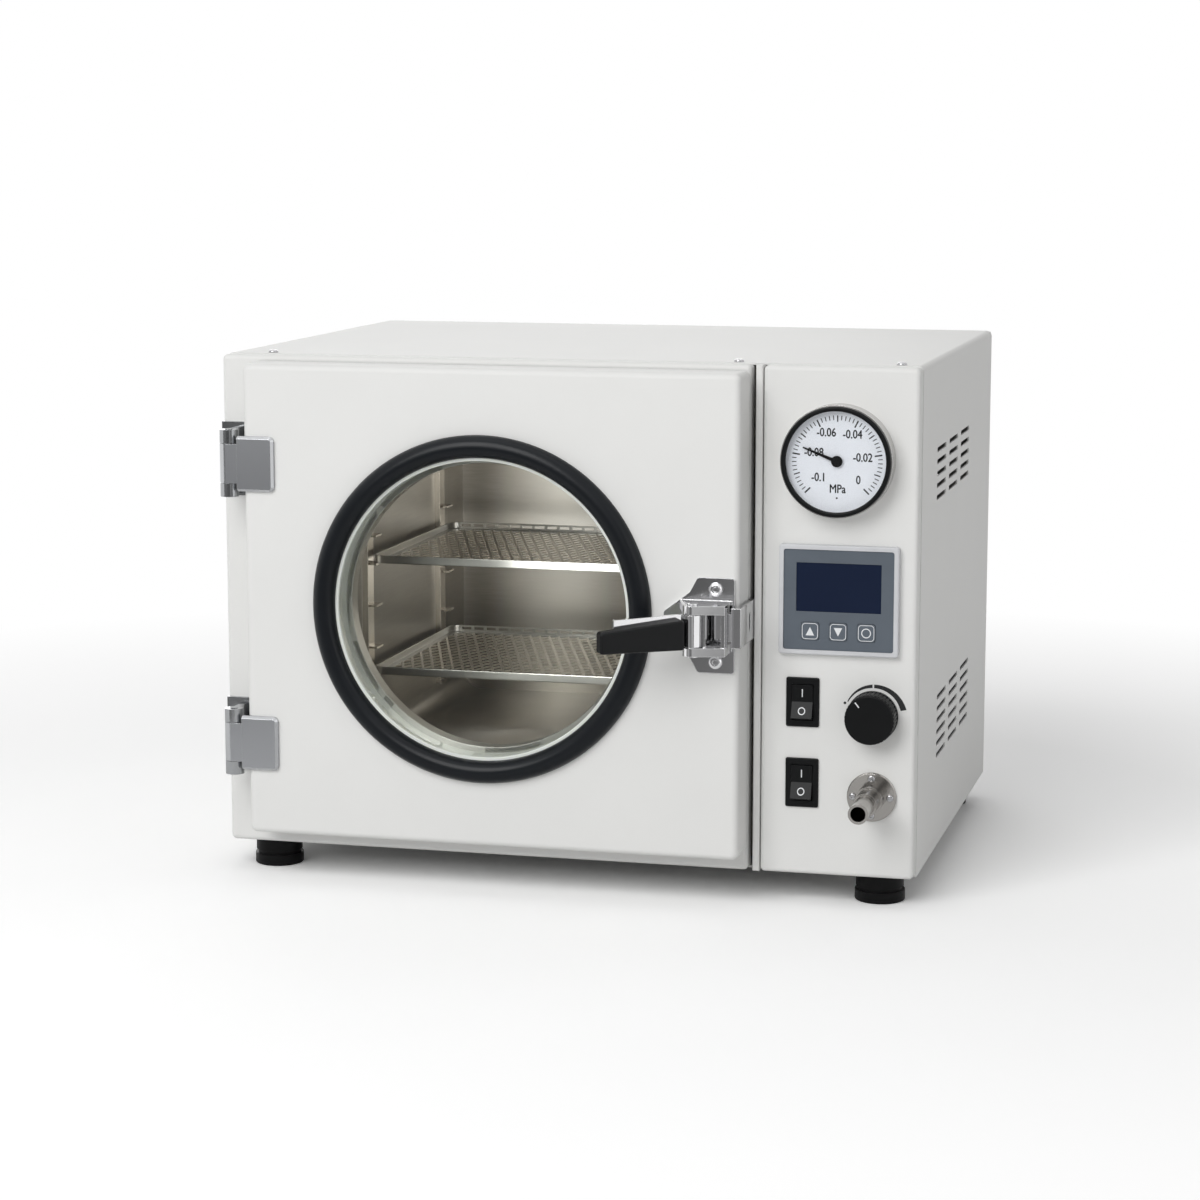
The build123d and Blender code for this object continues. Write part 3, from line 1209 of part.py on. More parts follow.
# ==== temperature controller =====================================================================
controller_at = (CONTROLLER_X, BOTTOM + CONTROLLER_Z)
opening_w = CONTROLLER_W - 2 * CONTROLLER_RIM
opening_h = CONTROLLER_H - 2 * CONTROLLER_RIM
face_front = CONTROLLER_OUT - FACE_SUNK
face_back = face_front - FACE_T
screen_at = (CONTROLLER_X, BOTTOM + CONTROLLER_Z + SCREEN_UP)
with BuildPart() as controller_case:
    with BuildSketch(face()):
        with Locations(controller_at):
            RectangleRounded(CONTROLLER_W, CONTROLLER_H, 2.5)
    extrude(amount=CONTROLLER_OUT)
    fillet(controller_case.faces().sort_by(Axis.Y)[0].edges(), 1.2)
    with BuildSketch(face()):
        with Locations(controller_at):
            Rectangle(opening_w, opening_h)
    extrude(amount=-CONTROLLER_D)
    with BuildSketch(face(CONTROLLER_OUT)):
        with Locations(controller_at):
            RectangleRounded(opening_w, opening_h, 2)
    extrude(amount=face_back - CONTROLLER_OUT, mode=Mode.SUBTRACT)
    with BuildSketch(face(face_back)):
        with Locations(controller_at):
            Rectangle(opening_w - 2 * CONTROLLER_LEDGE, opening_h - 2 * CONTROLLER_LEDGE)
    extrude(amount=-2 * CONTROLLER_OUT, mode=Mode.SUBTRACT)
controller_case.part.label = "controller_case"
export_step(controller_case.part, "parts/controller_case.step")

key_xs = [CONTROLLER_X + step * KEY_PITCH for step in (-1, 0, 1)]
key_z = BOTTOM + CONTROLLER_Z - KEY_DOWN
with BuildPart() as controller_face:
    with BuildSketch(face(face_back)):
        with Locations(controller_at):
            RectangleRounded(opening_w, opening_h, 2)
        with Locations(screen_at):
            Rectangle(SCREEN_W, SCREEN_H, mode=Mode.SUBTRACT)
        with Locations([(x, key_z) for x in key_xs]):
            RectangleRounded(KEY_W, KEY_W, 2, mode=Mode.SUBTRACT)
    extrude(amount=FACE_T)
controller_face.part.label = "controller_face"
export_step(controller_face.part, "parts/controller_face.step")

with BuildPart() as controller_screen:
    with BuildSketch(face(face_back)):
        with Locations(screen_at):
            Rectangle(SCREEN_W, SCREEN_H)
    extrude(amount=FACE_T * 0.75)
    with BuildSketch(face(face_back)):
        with Locations(screen_at):
            Rectangle(SCREEN_W + 2 * KEY_LIP, SCREEN_H + 2 * KEY_LIP)
    extrude(amount=-2 * FACE_T)
controller_screen.part.label = "controller_screen"
export_step(controller_screen.part, "parts/controller_screen.step")

for key_name, key_x in zip(("up_key", "down_key", "set_key"), key_xs):
    with BuildPart() as key:
        with BuildSketch(face(face_back - KEY_CLEAR)):
            with Locations((key_x, key_z)):
                RectangleRounded(KEY_W - 2 * KEY_CLEAR, KEY_W - 2 * KEY_CLEAR, 2)
        extrude(amount=FACE_T + KEY_CLEAR + KEY_OUT)
        fillet(key.faces().sort_by(Axis.Y)[0].edges(), 0.4)
        with BuildSketch(face(face_back - KEY_CLEAR)):
            with Locations((key_x, key_z)):
                Rectangle(KEY_W + 2 * KEY_LIP, KEY_W - 2 * KEY_CLEAR)
        extrude(amount=-KEY_LIP)
    key.part.label = key_name
    export_step(key.part, f"parts/{key_name}.step")

# ==== rocker switches ===========================================================================
tilt = math.radians(ROCKER_TILT)
half_rocker = ROCKER_W / 2
for switch_name, height in (("upper", SWITCH_UPPER_Z), ("lower", SWITCH_LOWER_Z)):
    switch_z = BOTTOM + height
    with BuildPart() as switch_body:
        with BuildSketch(face()):
            with Locations((SWITCH_X, switch_z)):
                RectangleRounded(SWITCH_W, SWITCH_H, 1.5)
        extrude(amount=SWITCH_OUT)
        fillet(switch_body.faces().sort_by(Axis.Y)[0].edges(), 0.8)
        with BuildSketch(face()):
            with Locations((SWITCH_X, switch_z)):
                Rectangle(SWITCH_W - 2 * SWITCH_BODY_EDGE, SWITCH_H - 2 * SWITCH_BODY_EDGE)
        extrude(amount=-SWITCH_BODY_D)
        with BuildSketch(face(SWITCH_OUT)):
            with Locations((SWITCH_X, switch_z)):
                Rectangle(ROCKER_W + 2 * ROCKER_CLEAR, 2 * ROCKER_R + 2 * ROCKER_CLEAR)
        extrude(amount=-SWITCH_OUT - 2 * ROCKER_BACK, mode=Mode.SUBTRACT)
        with BuildSketch(Plane.YZ.offset(SWITCH_X - half_rocker - TRUNNION_L - RUNNING)):
            with Locations((FRONT_Y, switch_z)):
                Circle(TRUNNION_R + RUNNING)
        extrude(amount=ROCKER_W + 2 * TRUNNION_L + 2 * RUNNING, mode=Mode.SUBTRACT)
    switch_body.part.label = f"{switch_name}_switch_body"
    export_step(switch_body.part, f"parts/{switch_name}_switch_body.step")

    rocker_plane = Plane(
        origin=(SWITCH_X - half_rocker, FRONT_Y, switch_z),
        x_dir=(0, -math.cos(tilt), math.sin(tilt)),
        z_dir=(-1, 0, 0),
    )
    with BuildPart() as rocker:
        with BuildSketch(rocker_plane):
            Circle(ROCKER_R)
            Polygon(
                (-ROCKER_BACK, -ROCKER_R),
                (ROCKER_OUT, -ROCKER_R),
                (ROCKER_VALLEY, 0),
                (ROCKER_OUT, ROCKER_R),
                (-ROCKER_BACK, ROCKER_R),
                align=None,
                mode=Mode.INTERSECT,
            )
        extrude(amount=-ROCKER_W)
        with BuildSketch(rocker_plane):
            Circle(TRUNNION_R)
        extrude(amount=TRUNNION_L)
        with BuildSketch(rocker_plane.offset(-ROCKER_W)):
            Circle(TRUNNION_R)
        extrude(amount=-TRUNNION_L)
    rocker.part.label = f"{switch_name}_rocker"
    export_step(rocker.part, f"parts/{switch_name}_rocker.step")

# ==== valve knob, valve block and nozzle ============================================================
knob_at = (KNOB_X, BOTTOM + KNOB_Z)
nozzle_at = (KNOB_X, BOTTOM + NOZZLE_Z)
with BuildPart() as knob:
    with BuildSketch(face(KNOB_GAP)):
        with Locations(knob_at):
            Circle(KNOB_SKIRT_R)
    extrude(amount=KNOB_SKIRT)
    with BuildSketch(face(KNOB_GAP + KNOB_SKIRT)):
        with Locations(knob_at):
            Circle(KNOB_R)
            with PolarLocations(KNOB_R, KNOB_FLUTES):
                Circle(KNOB_FLUTE_R, mode=Mode.SUBTRACT)
    extrude(amount=KNOB_OUT - KNOB_SKIRT - KNOB_GAP - KNOB_CAP)
    with BuildSketch(face(KNOB_OUT - KNOB_CAP)):
        with Locations(knob_at):
            Circle(KNOB_CAP_R)
    extrude(amount=KNOB_CAP)
    chamfer(knob.faces().sort_by(Axis.Y)[0].edges(), KNOB_CAP_BEVEL)
    pointer = math.radians(KNOB_POINTER)
    pointer_at = (
        KNOB_X + POINTER_R * math.cos(pointer),
        BOTTOM + KNOB_Z + POINTER_R * math.sin(pointer),
    )
    with BuildSketch(face(KNOB_OUT)):
        with Locations(pointer_at):
            SlotOverall(POINTER_L, POINTER_W, rotation=KNOB_POINTER)
    extrude(amount=-POINTER_SUNK, mode=Mode.SUBTRACT)
    with BuildSketch(face(KNOB_GAP)):
        with Locations(knob_at):
            Circle(STEM_R + PRESS_GAP)
    extrude(amount=KNOB_OUT * 0.6, mode=Mode.SUBTRACT)
knob.part.label = "knob"
export_step(knob.part, "parts/knob.step")

with BuildPart() as valve_stem:
    with BuildSketch(face(KNOB_OUT * 0.6)):
        with Locations(knob_at):
            Circle(STEM_R)
    extrude(amount=-KNOB_OUT * 0.6 - BLOCK_D * 0.6)
valve_stem.part.label = "valve_stem"
export_step(valve_stem.part, "parts/valve_stem.step")

block_z0 = BOTTOM + NOZZLE_Z - BLOCK_END
block_z1 = BOTTOM + KNOB_Z + BLOCK_END
pipe_in_z = (block_z0 + block_z1) / 2
with BuildPart() as valve_block:
    with BuildSketch(face(-SHEET)):
        with Locations((KNOB_X, pipe_in_z)):
            Rectangle(BLOCK_W, block_z1 - block_z0)
    extrude(amount=-BLOCK_D)
    with BuildSketch(face(-SHEET)):
        with Locations(knob_at):
            Circle(STEM_R + RUNNING)
        with Locations(nozzle_at):
            Circle(NOZZLE_R + PRESS_GAP)
    extrude(amount=-BLOCK_D * 0.7, mode=Mode.SUBTRACT)
    with BuildSketch(face(-SHEET - BLOCK_D)):
        with Locations((KNOB_X, pipe_in_z)):
            Circle(PIPE_R)
    extrude(amount=BLOCK_D * 0.3, mode=Mode.SUBTRACT)
valve_block.part.label = "valve_block"
export_step(valve_block.part, "parts/valve_block.step")

with BuildPart() as nozzle_flange:
    with BuildSketch(face()):
        with Locations(nozzle_at):
            Circle(NOZZLE_FLANGE_R)
            Circle(NOZZLE_R + PRESS_GAP, mode=Mode.SUBTRACT)
            with PolarLocations(NOZZLE_PCD / 2, 4):
                Circle(SCREW_R, mode=Mode.SUBTRACT)
    extrude(amount=NOZZLE_FLANGE_T)
    chamfer(nozzle_flange.faces().sort_by(Axis.Y)[0].outer_wire().edges(), 0.6)
nozzle_flange.part.label = "nozzle_flange"
export_step(nozzle_flange.part, "parts/nozzle_flange.step")

collar_end = NOZZLE_FLANGE_T + NOZZLE_COLLAR_L
step_end = collar_end + NOZZLE_STEP_L
with BuildPart() as nozzle_tube:
    for start, end, radius in (
        (-BLOCK_D * 0.6, NOZZLE_OUT, NOZZLE_R),
        (NOZZLE_FLANGE_T, collar_end, NOZZLE_COLLAR_R),
        (collar_end, step_end, NOZZLE_STEP_R),
    ):
        with BuildSketch(face(start)):
            with Locations(nozzle_at):
                Circle(radius)
        extrude(amount=end - start)
    with BuildSketch(face(NOZZLE_OUT)):
        with Locations(nozzle_at):
            Circle(NOZZLE_BORE_R)
    extrude(amount=-NOZZLE_OUT - BLOCK_D * 0.6, mode=Mode.SUBTRACT)
nozzle_tube.part.label = "nozzle_tube"
export_step(nozzle_tube.part, "parts/nozzle_tube.step")

nozzle_screw = screw(SCREW_HEAD_R * 0.75, SCREW_HEAD_H * 0.8, SCREW_R, NOZZLE_FLANGE_T + 1.5)
with BuildPart() as nozzle_screws:
    for turn in range(4):
        angle = math.radians(90 * turn)
        x = nozzle_at[0] + NOZZLE_PCD / 2 * math.cos(angle)
        z = nozzle_at[1] + NOZZLE_PCD / 2 * math.sin(angle)
        add(Pos(x, FRONT_Y - NOZZLE_FLANGE_T, z) * Rot(90, 0, 0) * nozzle_screw)
nozzle_screws.part.label = "nozzle_screws"
export_step(nozzle_screws.part, "parts/nozzle_screws.step")

# ==== services ====================================================================================
pipe_z = BOTTOM + PIPE_Z
gauge_z = BOTTOM + GAUGE_Z
turn_y = FRONT_Y + PIPE_TURN_DEPTH
tee_y = FRONT_Y + PIPE_TEE_DEPTH
with BuildPart() as vacuum_pipe:
    with BuildLine() as route:
        FilletPolyline(
            (CHAMBER_RIGHT + CHAMBER_WALL / 2, FRONT_Y + PIPE_DEPTH, pipe_z),
            (GAUGE_X, FRONT_Y + PIPE_DEPTH, pipe_z),
            (GAUGE_X, turn_y, pipe_z),
            (KNOB_X, turn_y, pipe_z),
            (KNOB_X, turn_y, pipe_in_z),
            (KNOB_X, FRONT_Y + SHEET + BLOCK_D * 0.9, pipe_in_z),
            radius=2 * PIPE_R,
        )
    with BuildSketch(Plane(origin=route.line @ 0, z_dir=route.line % 0)):
        Circle(PIPE_R)
    sweep()
    with BuildLine() as branch:
        FilletPolyline(
            (GAUGE_X, tee_y, pipe_z),
            (GAUGE_X, tee_y, gauge_z),
            (GAUGE_X, FRONT_Y + stem_depth, gauge_z),
            radius=2 * PIPE_R,
        )
    with BuildSketch(Plane(origin=branch.line @ 0, z_dir=branch.line % 0)):
        Circle(GAUGE_PIPE_R)
    sweep(path=branch.line)
vacuum_pipe.part.label = "vacuum_pipe"
export_step(vacuum_pipe.part, "parts/vacuum_pipe.step")

with BuildPart() as heater_relay:
    with Locations((BULKHEAD_X + SHEET, FRONT_Y + RELAY_DEPTH, BOTTOM + RELAY_Z)):
        Box(RELAY_W, RELAY_D, RELAY_H, align=(Align.MIN, Align.MIN, Align.MIN))
heater_relay.part.label = "heater_relay"
export_step(heater_relay.part, "parts/heater_relay.step")

inlet_at = (INLET_X, inlet_z)
with BuildPart() as mains_inlet:
    with BuildSketch(rear(INLET_FLANGE_T)) as flange_plate:
        with Locations(inlet_at):
            RectangleRounded(INLET_W, INLET_H, 4)
            with GridLocations(INLET_SCREW_PITCH, 0, 2, 1):
                Circle(SCREW_R, mode=Mode.SUBTRACT)
    extrude(amount=INLET_FLANGE_T)
    with BuildSketch(rear()):
        with Locations(inlet_at):
            Rectangle(INLET_BODY_W, INLET_BODY_H)
    extrude(amount=INLET_BODY_D)
    with BuildSketch(rear(INLET_FLANGE_T)):
        with Locations(inlet_at):
            Rectangle(SOCKET_W, SOCKET_H)
    extrude(amount=INLET_FLANGE_T + SOCKET_D, mode=Mode.SUBTRACT)
    with BuildSketch(rear(INLET_FLANGE_T)):
        with Locations(inlet_at):
            with GridLocations(INLET_SCREW_PITCH, 0, 2, 1):
                Circle(SCREW_HEAD_R)
    extrude(amount=SHEET, mode=Mode.SUBTRACT)
mains_inlet.part.label = "mains_inlet"
export_step(mains_inlet.part, "parts/mains_inlet.step")

with BuildPart() as inlet_blades:
    with BuildSketch(rear(-SOCKET_D)):
        with Locations(
            (INLET_X - BLADE_PITCH, inlet_z - BLADE_DROP),
            (INLET_X, inlet_z + BLADE_RISE),
            (INLET_X + BLADE_PITCH, inlet_z - BLADE_DROP),
        ):
            Rectangle(BLADE_T, BLADE_H)
    extrude(amount=-BLADE_L)
inlet_blades.part.label = "inlet_blades"
export_step(inlet_blades.part, "parts/inlet_blades.step")

# ==== feet ========================================================================================
foot_spots = [
    (x, FRONT_Y + CABINET_D / 2 + y)
    for x in (LEFT + FOOT_IN, RIGHT - FOOT_IN)
    for y in (FOOT_IN - CABINET_D / 2, CABINET_D / 2 - FOOT_IN)
]
groove_top = FOOT_RING_H + FOOT_GROOVE_H
with BuildPart() as feet:
    with Locations([(x, y, 0) for x, y in foot_spots]):
        Cylinder(FOOT_R, FOOT_RING_H, align=(Align.CENTER, Align.CENTER, Align.MIN))
    with Locations([(x, y, FOOT_RING_H) for x, y in foot_spots]):
        Cylinder(FOOT_GROOVE_R, FOOT_GROOVE_H, align=(Align.CENTER, Align.CENTER, Align.MIN))
    with Locations([(x, y, groove_top) for x, y in foot_spots]):
        Cylinder(
            FOOT_UPPER_R, FOOT_H - groove_top, align=(Align.CENTER, Align.CENTER, Align.MIN)
        )
    fillet(feet.faces().group_by(Axis.Z)[0].edges(), FOOT_EDGE_R)
    with Locations([(x, y, FOOT_H) for x, y in foot_spots]):
        Cylinder(SCREW_R, FOOT_STUD, align=(Align.CENTER, Align.CENTER, Align.MIN))
feet.part.label = "feet"
export_step(feet.part, "parts/feet.step")
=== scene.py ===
"""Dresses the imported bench-top vacuum oven: finishes, prints, shelves, light and camera."""

import logging
import math
from collections.abc import Callable, Iterable, Mapping, Sequence
from dataclasses import dataclass
from enum import Enum
from functools import cache

import bmesh
import bpy
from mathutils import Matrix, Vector
from mathutils.bvhtree import BVHTree

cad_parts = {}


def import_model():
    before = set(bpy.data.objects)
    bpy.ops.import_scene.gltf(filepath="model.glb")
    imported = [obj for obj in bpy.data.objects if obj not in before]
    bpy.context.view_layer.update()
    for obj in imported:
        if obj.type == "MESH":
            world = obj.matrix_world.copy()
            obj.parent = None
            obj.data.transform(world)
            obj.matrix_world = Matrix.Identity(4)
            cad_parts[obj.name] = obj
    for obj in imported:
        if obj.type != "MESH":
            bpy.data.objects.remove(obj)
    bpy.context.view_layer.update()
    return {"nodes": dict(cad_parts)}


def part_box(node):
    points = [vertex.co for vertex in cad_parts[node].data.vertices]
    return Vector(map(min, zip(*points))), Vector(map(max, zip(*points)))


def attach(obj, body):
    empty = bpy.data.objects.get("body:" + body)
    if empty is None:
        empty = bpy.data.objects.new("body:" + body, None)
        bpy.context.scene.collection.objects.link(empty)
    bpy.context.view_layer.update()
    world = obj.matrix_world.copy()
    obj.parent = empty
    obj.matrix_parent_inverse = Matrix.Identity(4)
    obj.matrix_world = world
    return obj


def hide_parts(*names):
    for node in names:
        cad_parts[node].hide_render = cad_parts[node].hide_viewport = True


log = logging.getLogger("vacuum_oven")

Colour = tuple[float, float, float, float]
Point = tuple[float, float]
Point3 = tuple[float, float, float]
MM = 0.001
WHITE: Colour = (1, 1, 1, 1)
BEVEL_SAMPLES = 4
EDGE_GAIN = 7.0  # how quickly a bevel's turn counts as an edge
FLAT_LIMIT = 0.997  # a normal nearer to an axis than this is flat
CURVED_GAIN = 150.0
FACETS = 288  # round a turned piece
SHARP_ANGLE = math.radians(30)
INK_THICKNESS = 0.05


def paint(red: int, green: int, blue: int) -> Colour:
    """Turns a colour as a screen shows it, 0 to 255, into the linear one a shader takes."""
    linear = [
        (c / 12.92 if c <= 0.04045 else ((c + 0.055) / 1.055) ** 2.4)
        for c in (red / 255, green / 255, blue / 255)
    ]
    return (linear[0], linear[1], linear[2], 1.0)


def darker(colour: Colour, share: float) -> Colour:
    """Returns the colour with its light cut to a share of what it was."""
    return (colour[0] * share, colour[1] * share, colour[2] * share, 1.0)


# ---- shader expressions ----------------------------------------------------------------


def sign(operation: str, swapped: bool = False) -> Callable[["Value", object], "Value"]:
    """Makes the method behind one of Python's arithmetic signs."""

    def method(self: "Value", other: object) -> "Value":
        """Works on this value and on another value or a number."""
        return self.shade.maths(operation, *((other, self) if swapped else (self, other)))

    return method


class Value:
    """What one output socket gives, with Python's arithmetic for the numbers among them."""

    __add__ = sign("ADD")
    __radd__ = sign("ADD", swapped=True)
    __sub__ = sign("SUBTRACT")
    __rsub__ = sign("SUBTRACT", swapped=True)
    __mul__ = sign("MULTIPLY")
    __rmul__ = sign("MULTIPLY", swapped=True)

    def __init__(self, shade: "Shade", socket: bpy.types.NodeSocket) -> None:
        """Keeps the socket and the tree that it belongs to."""
        self.shade = shade
        self.socket = socket

    def clipped(self) -> "Value":
        """Keeps the value between 0 and 1."""
        return self.shade.maths("ADD", self, 0.0, clamp=True)


class Shade:
    """The node tree of one material or world, written as expressions."""

    def __init__(self, owner: bpy.types.Material | bpy.types.World) -> None:
        """Starts an empty tree in a material or a world."""
        self.owner = owner
        owner.use_nodes = True
        self.tree = owner.node_tree
        self.tree.nodes.clear()

    def node(
        self,
        kind: str,
        settings: Mapping[str, object] | None = None,
        inputs: Mapping[str | int, object] | None = None,
        out: str | int = 0,
    ) -> Value:
        """Adds one node.

        Args:
            kind: The node's type, without its "ShaderNode".
            settings: Its properties, set first.
            inputs: Numbers, colours or values for its sockets, by name or by place.
            out: The output that the expression goes on with.
        """
        made = self.tree.nodes.new("ShaderNode" + kind)
        for key, setting in (settings or {}).items():
            setattr(made, key, setting)
        for key, given in (inputs or {}).items():
            if isinstance(given, Value):
                self.tree.links.new(given.socket, made.inputs[key])
            else:
                made.inputs[key].default_value = given
        return Value(self, made.outputs[out])

    def maths(self, operation: str, *terms: "Value | float", clamp: bool = False) -> Value:
        """Adds a Math node; a clamped one keeps its result between 0 and 1."""
        settings = {"operation": operation, "use_clamp": clamp}
        return self.node("Math", settings, dict(enumerate(terms)))

    def place(self, stretch: Sequence[float] = (1, 1, 1)) -> Value:
        """Gives the place on the piece in metres, stretched along each axis."""
        spot = self.node("TexCoord", out="Object")
        return self.node("Mapping", {}, {"Vector": spot, "Scale": tuple(stretch)})

    def noise(
        self,
        size: float,
        stretch: Sequence[float] = (1, 1, 1),
        detail: float = 2.0,
        harshness: float = 0.5,
    ) -> Value:
        """Gives soft random spots, around 0.5.

        Args:
            size: The spots' size in millimetres.
            stretch: How much finer they are along each axis.
            detail: How many finer layers there are.
            harshness: How strong those are.
        """
        sockets = {
            "Vector": self.place(stretch),
            "Scale": 1000 / size,
            "Detail": detail,
            "Roughness": harshness,
        }
        return self.node("TexNoise", {}, sockets)

    def blend(self, mask: "Value | float", first: object, second: object) -> Value:
        """Mixes two colours: the first where the mask is 0, the second where it is 1."""
        settings = {"data_type": "RGBA"}
        return self.node("Mix", settings, {0: mask, 6: first, 7: second}, out=2)

    def tinted(self, mask: "Value | float", colour: Colour, low: float, high: float) -> Value:
        """Varies a colour's light: its low share where the mask is 0, its high one at 1."""
        return self.blend(mask, darker(colour, low), darker(colour, high))

    def edges(self, radius: float) -> Value:
        """Gives 1 within a radius in millimetres of sharp edges and 0 on flat faces."""
        straight = self.node("NewGeometry", out="Normal")
        settings = {"operation": "DOT_PRODUCT"}
        sockets = {0: self.rounded(radius), 1: straight}
        along = self.node("VectorMath", settings, sockets, out="Value")
        return ((1 - along) * EDGE_GAIN).clipped()

    def rounded(self, radius: float) -> Value:
        """Gives the normal of edges rounded by a radius in millimetres."""
        return self.node("Bevel", {"samples": BEVEL_SAMPLES}, {"Radius": radius * MM})

    def curved(self) -> Value:
        """Gives 1 on curved skins and 0 on flat ones that face along an axis of the piece."""
        normal = self.node("TexCoord", out="Normal")
        parts = [
            self.maths("ABSOLUTE", self.node("SeparateXYZ", {}, {0: normal}, out=axis))
            for axis in range(3)
        ]
        most = self.maths("MAXIMUM", self.maths("MAXIMUM", parts[0], parts[1]), parts[2])
        return ((FLAT_LIMIT - most) * CURVED_GAIN).clipped()

    def bump(self, height: Value, depth: float, normal: Value | None = None) -> Value:
        """Bumps a normal by a height of 0 to 1; a full step is depth millimetres deep."""
        sockets = {"Height": height, "Strength": 1.0, "Distance": depth * MM}
        if normal is not None:
            sockets["Normal"] = normal
        return self.node("Bump", {}, sockets)

    def surface(self, **sockets: object) -> Value:
        """Adds a Principled shader; underscores in the names stand for spaces."""
        named = {name.replace("_", " "): given for name, given in sockets.items()}
        return self.node("BsdfPrincipled", {}, named)

    def finished(
        self, shader: Value, output: str = "OutputMaterial"
    ) -> bpy.types.Material | bpy.types.World:
        """Sends the shader to the output and returns the material or the world."""
        made = self.tree.nodes.new("ShaderNode" + output)
        self.tree.links.new(shader.socket, made.inputs["Surface"])
        return self.owner


# ---- finishes --------------------------------------------------------------------------


@dataclass(frozen=True)
class Finish:
    """A finish that a piece can be given."""

    name: str
    colour: Colour

    def shader(self, shade: Shade) -> Value:
        """Writes the shader."""
        raise NotImplementedError

    def material(self) -> bpy.types.Material:
        """Builds the material."""
        shade = Shade(bpy.data.materials.new(self.name))
        return shade.finished(self.shader(shade))


@dataclass(frozen=True)
class PowderCoat(Finish):
    """Baked powder coat: a fine orange peel, faint clouding and a little dust."""

    roughness: float = 0.56
    peel_depth: float = 0.02

    def shader(self, shade: Shade) -> Value:
        """Writes the shader."""
        peel = shade.noise(1.1, detail=1.0)
        clouds = shade.noise(95.0, detail=3.0)
        specks = shade.noise(0.6, detail=0.0)
        tone = (clouds * 0.75 + specks * 0.25).clipped()
        return shade.surface(
            Base_Color=shade.tinted(tone, self.colour, 0.965, 1.03),
            Roughness=self.roughness - 0.05 + clouds * 0.10,
            Normal=shade.bump(peel, self.peel_depth, shade.rounded(0.8)),
            Specular_IOR_Level=0.3,
        )


@dataclass(frozen=True)
class BrushedSteel(Finish):
    """Rolled or brushed steel, with streaks along its grain."""

    grain: tuple[float, float, float]
    roughness: float = 0.3
    depth: float = 0.02
    streaks: float = 0.22

    def shader(self, shade: Shade) -> Value:
        """Writes the shader."""
        fine = shade.noise(20.0, self.grain, detail=3.0, harshness=0.65)
        broad = shade.noise(140.0, detail=2.0)
        tone = (fine * 0.6 + broad * 0.4).clipped()
        return shade.surface(
            Base_Color=shade.tinted(tone, self.colour, 1 - self.streaks, 1 + self.streaks),
            Metallic=1.0,
            Roughness=self.roughness - 0.08 + fine * 0.10 + broad * 0.06,
            Normal=shade.bump(fine, self.depth, shade.rounded(0.5)),
        )


@dataclass(frozen=True)
class ChamberSteel(Finish):
    """Drawn sheet steel of the chamber: painted upright stripes of reflected light over a fine
    grain.

    The colour is that between the painted stripes.
    """

    # the colour of the painted stripes of reflected light
    bright: Colour
    roughness: float = 0.34
    band_scale: float = 2.2
    band_phase: float = 1.6

    def shader(self, shade: Shade) -> Value:
        """Writes the shader."""
        # painted highlight: upright stripes of reflected light drawn into the base colour
        waves = {
            "Vector": shade.place((1.0, 0.3, 0.02)),
            "Scale": self.band_scale,
            "Distortion": 1.2,
            "Detail": 1.0,
            "Phase Offset": self.band_phase,
        }
        painted_light_bands = shade.node("TexWave", {"bands_direction": "X"}, waves, out="Fac")
        grain = shade.noise(9.0, (0.3, 0.3, 12.0), detail=3.0, harshness=0.6)
        stains = shade.noise(60.0, detail=3.0)
        tone = (painted_light_bands * 0.85 + stains * 0.15).clipped()
        fine = (tone + (grain - 0.5) * 0.16).clipped()
        return shade.surface(
            Base_Color=shade.blend(fine, self.colour, self.bright),
            Metallic=1.0,
            Anisotropic=0.75,
            Roughness=self.roughness - 0.05 + stains * 0.12,
            Normal=shade.bump(grain, 0.02),
        )


@dataclass(frozen=True)
class Plating(Finish):
    """Polished plating with faint smudges; its brighter edges and curves against duller faces are
    painted highlight.
    """

    roughness: float = 0.08
    # the duller colour of flat faces, set against painted highlight on edges and curves
    face: Colour | None = None
    face_roughness: float = 0.25
    edge: float = 1.0

    def shader(self, shade: Shade) -> Value:
        """Writes the shader."""
        smudges = shade.noise(14.0, detail=4.0, harshness=0.6)
        waves = shade.noise(9.0, detail=1.0)
        tone = shade.tinted(smudges, self.colour, 0.92, 1.05)
        roughness = self.roughness + smudges * 0.05
        if self.face is not None:
            # painted highlight: edges and curved skins take the brighter colour and flat faces
            # the duller one; the faces' higher roughness is their satin finish
            mask = shade.maths("MAXIMUM", shade.edges(self.edge), shade.curved())
            tone = shade.blend(mask, self.face, tone)
            roughness = roughness * mask + self.face_roughness * (1 - mask)
        return shade.surface(
            Base_Color=tone,
            Metallic=1.0,
            Roughness=roughness,
            Normal=shade.bump(waves, 0.03, shade.rounded(self.edge * 0.6)),
        )


@dataclass(frozen=True)
class Moulding(Finish):
    """Moulded plastic or rubber with a fine etched grain and slightly rubbed edges."""

    roughness: float = 0.45
    grain: float = 0.35
    depth: float = 0.02
    rub: float = 1.5
    shine: float = 0.5

    def shader(self, shade: Shade) -> Value:
        """Writes the shader."""
        etch = shade.noise(self.grain, detail=1.0)
        clouds = shade.noise(22.0, detail=3.0)
        rubbed = shade.edges(0.5)
        body = shade.tinted(clouds, self.colour, 0.9, 1.12)
        return shade.surface(
            Base_Color=shade.blend(rubbed * 0.5, body, darker(self.colour, self.rub)),
            Roughness=self.roughness - 0.05 + clouds * 0.1,
            Normal=shade.bump(etch, self.depth, shade.rounded(0.4)),
            Specular_IOR_Level=self.shine,
        )


@dataclass(frozen=True)
class Silicone(Finish):
    """Pale moulded silicone with light inside it."""

    def shader(self, shade: Shade) -> Value:
        """Writes the shader."""
        clouds = shade.noise(30.0, detail=3.0)
        fine = shade.noise(0.8, detail=1.0)
        return shade.surface(
            Base_Color=shade.tinted(clouds, self.colour, 0.93, 1.0),
            Roughness=0.34 + clouds * 0.12,
            Subsurface_Weight=0.25,
            Subsurface_Radius=(0.004, 0.004, 0.003),
            Normal=shade.bump(fine, 0.015),
        )


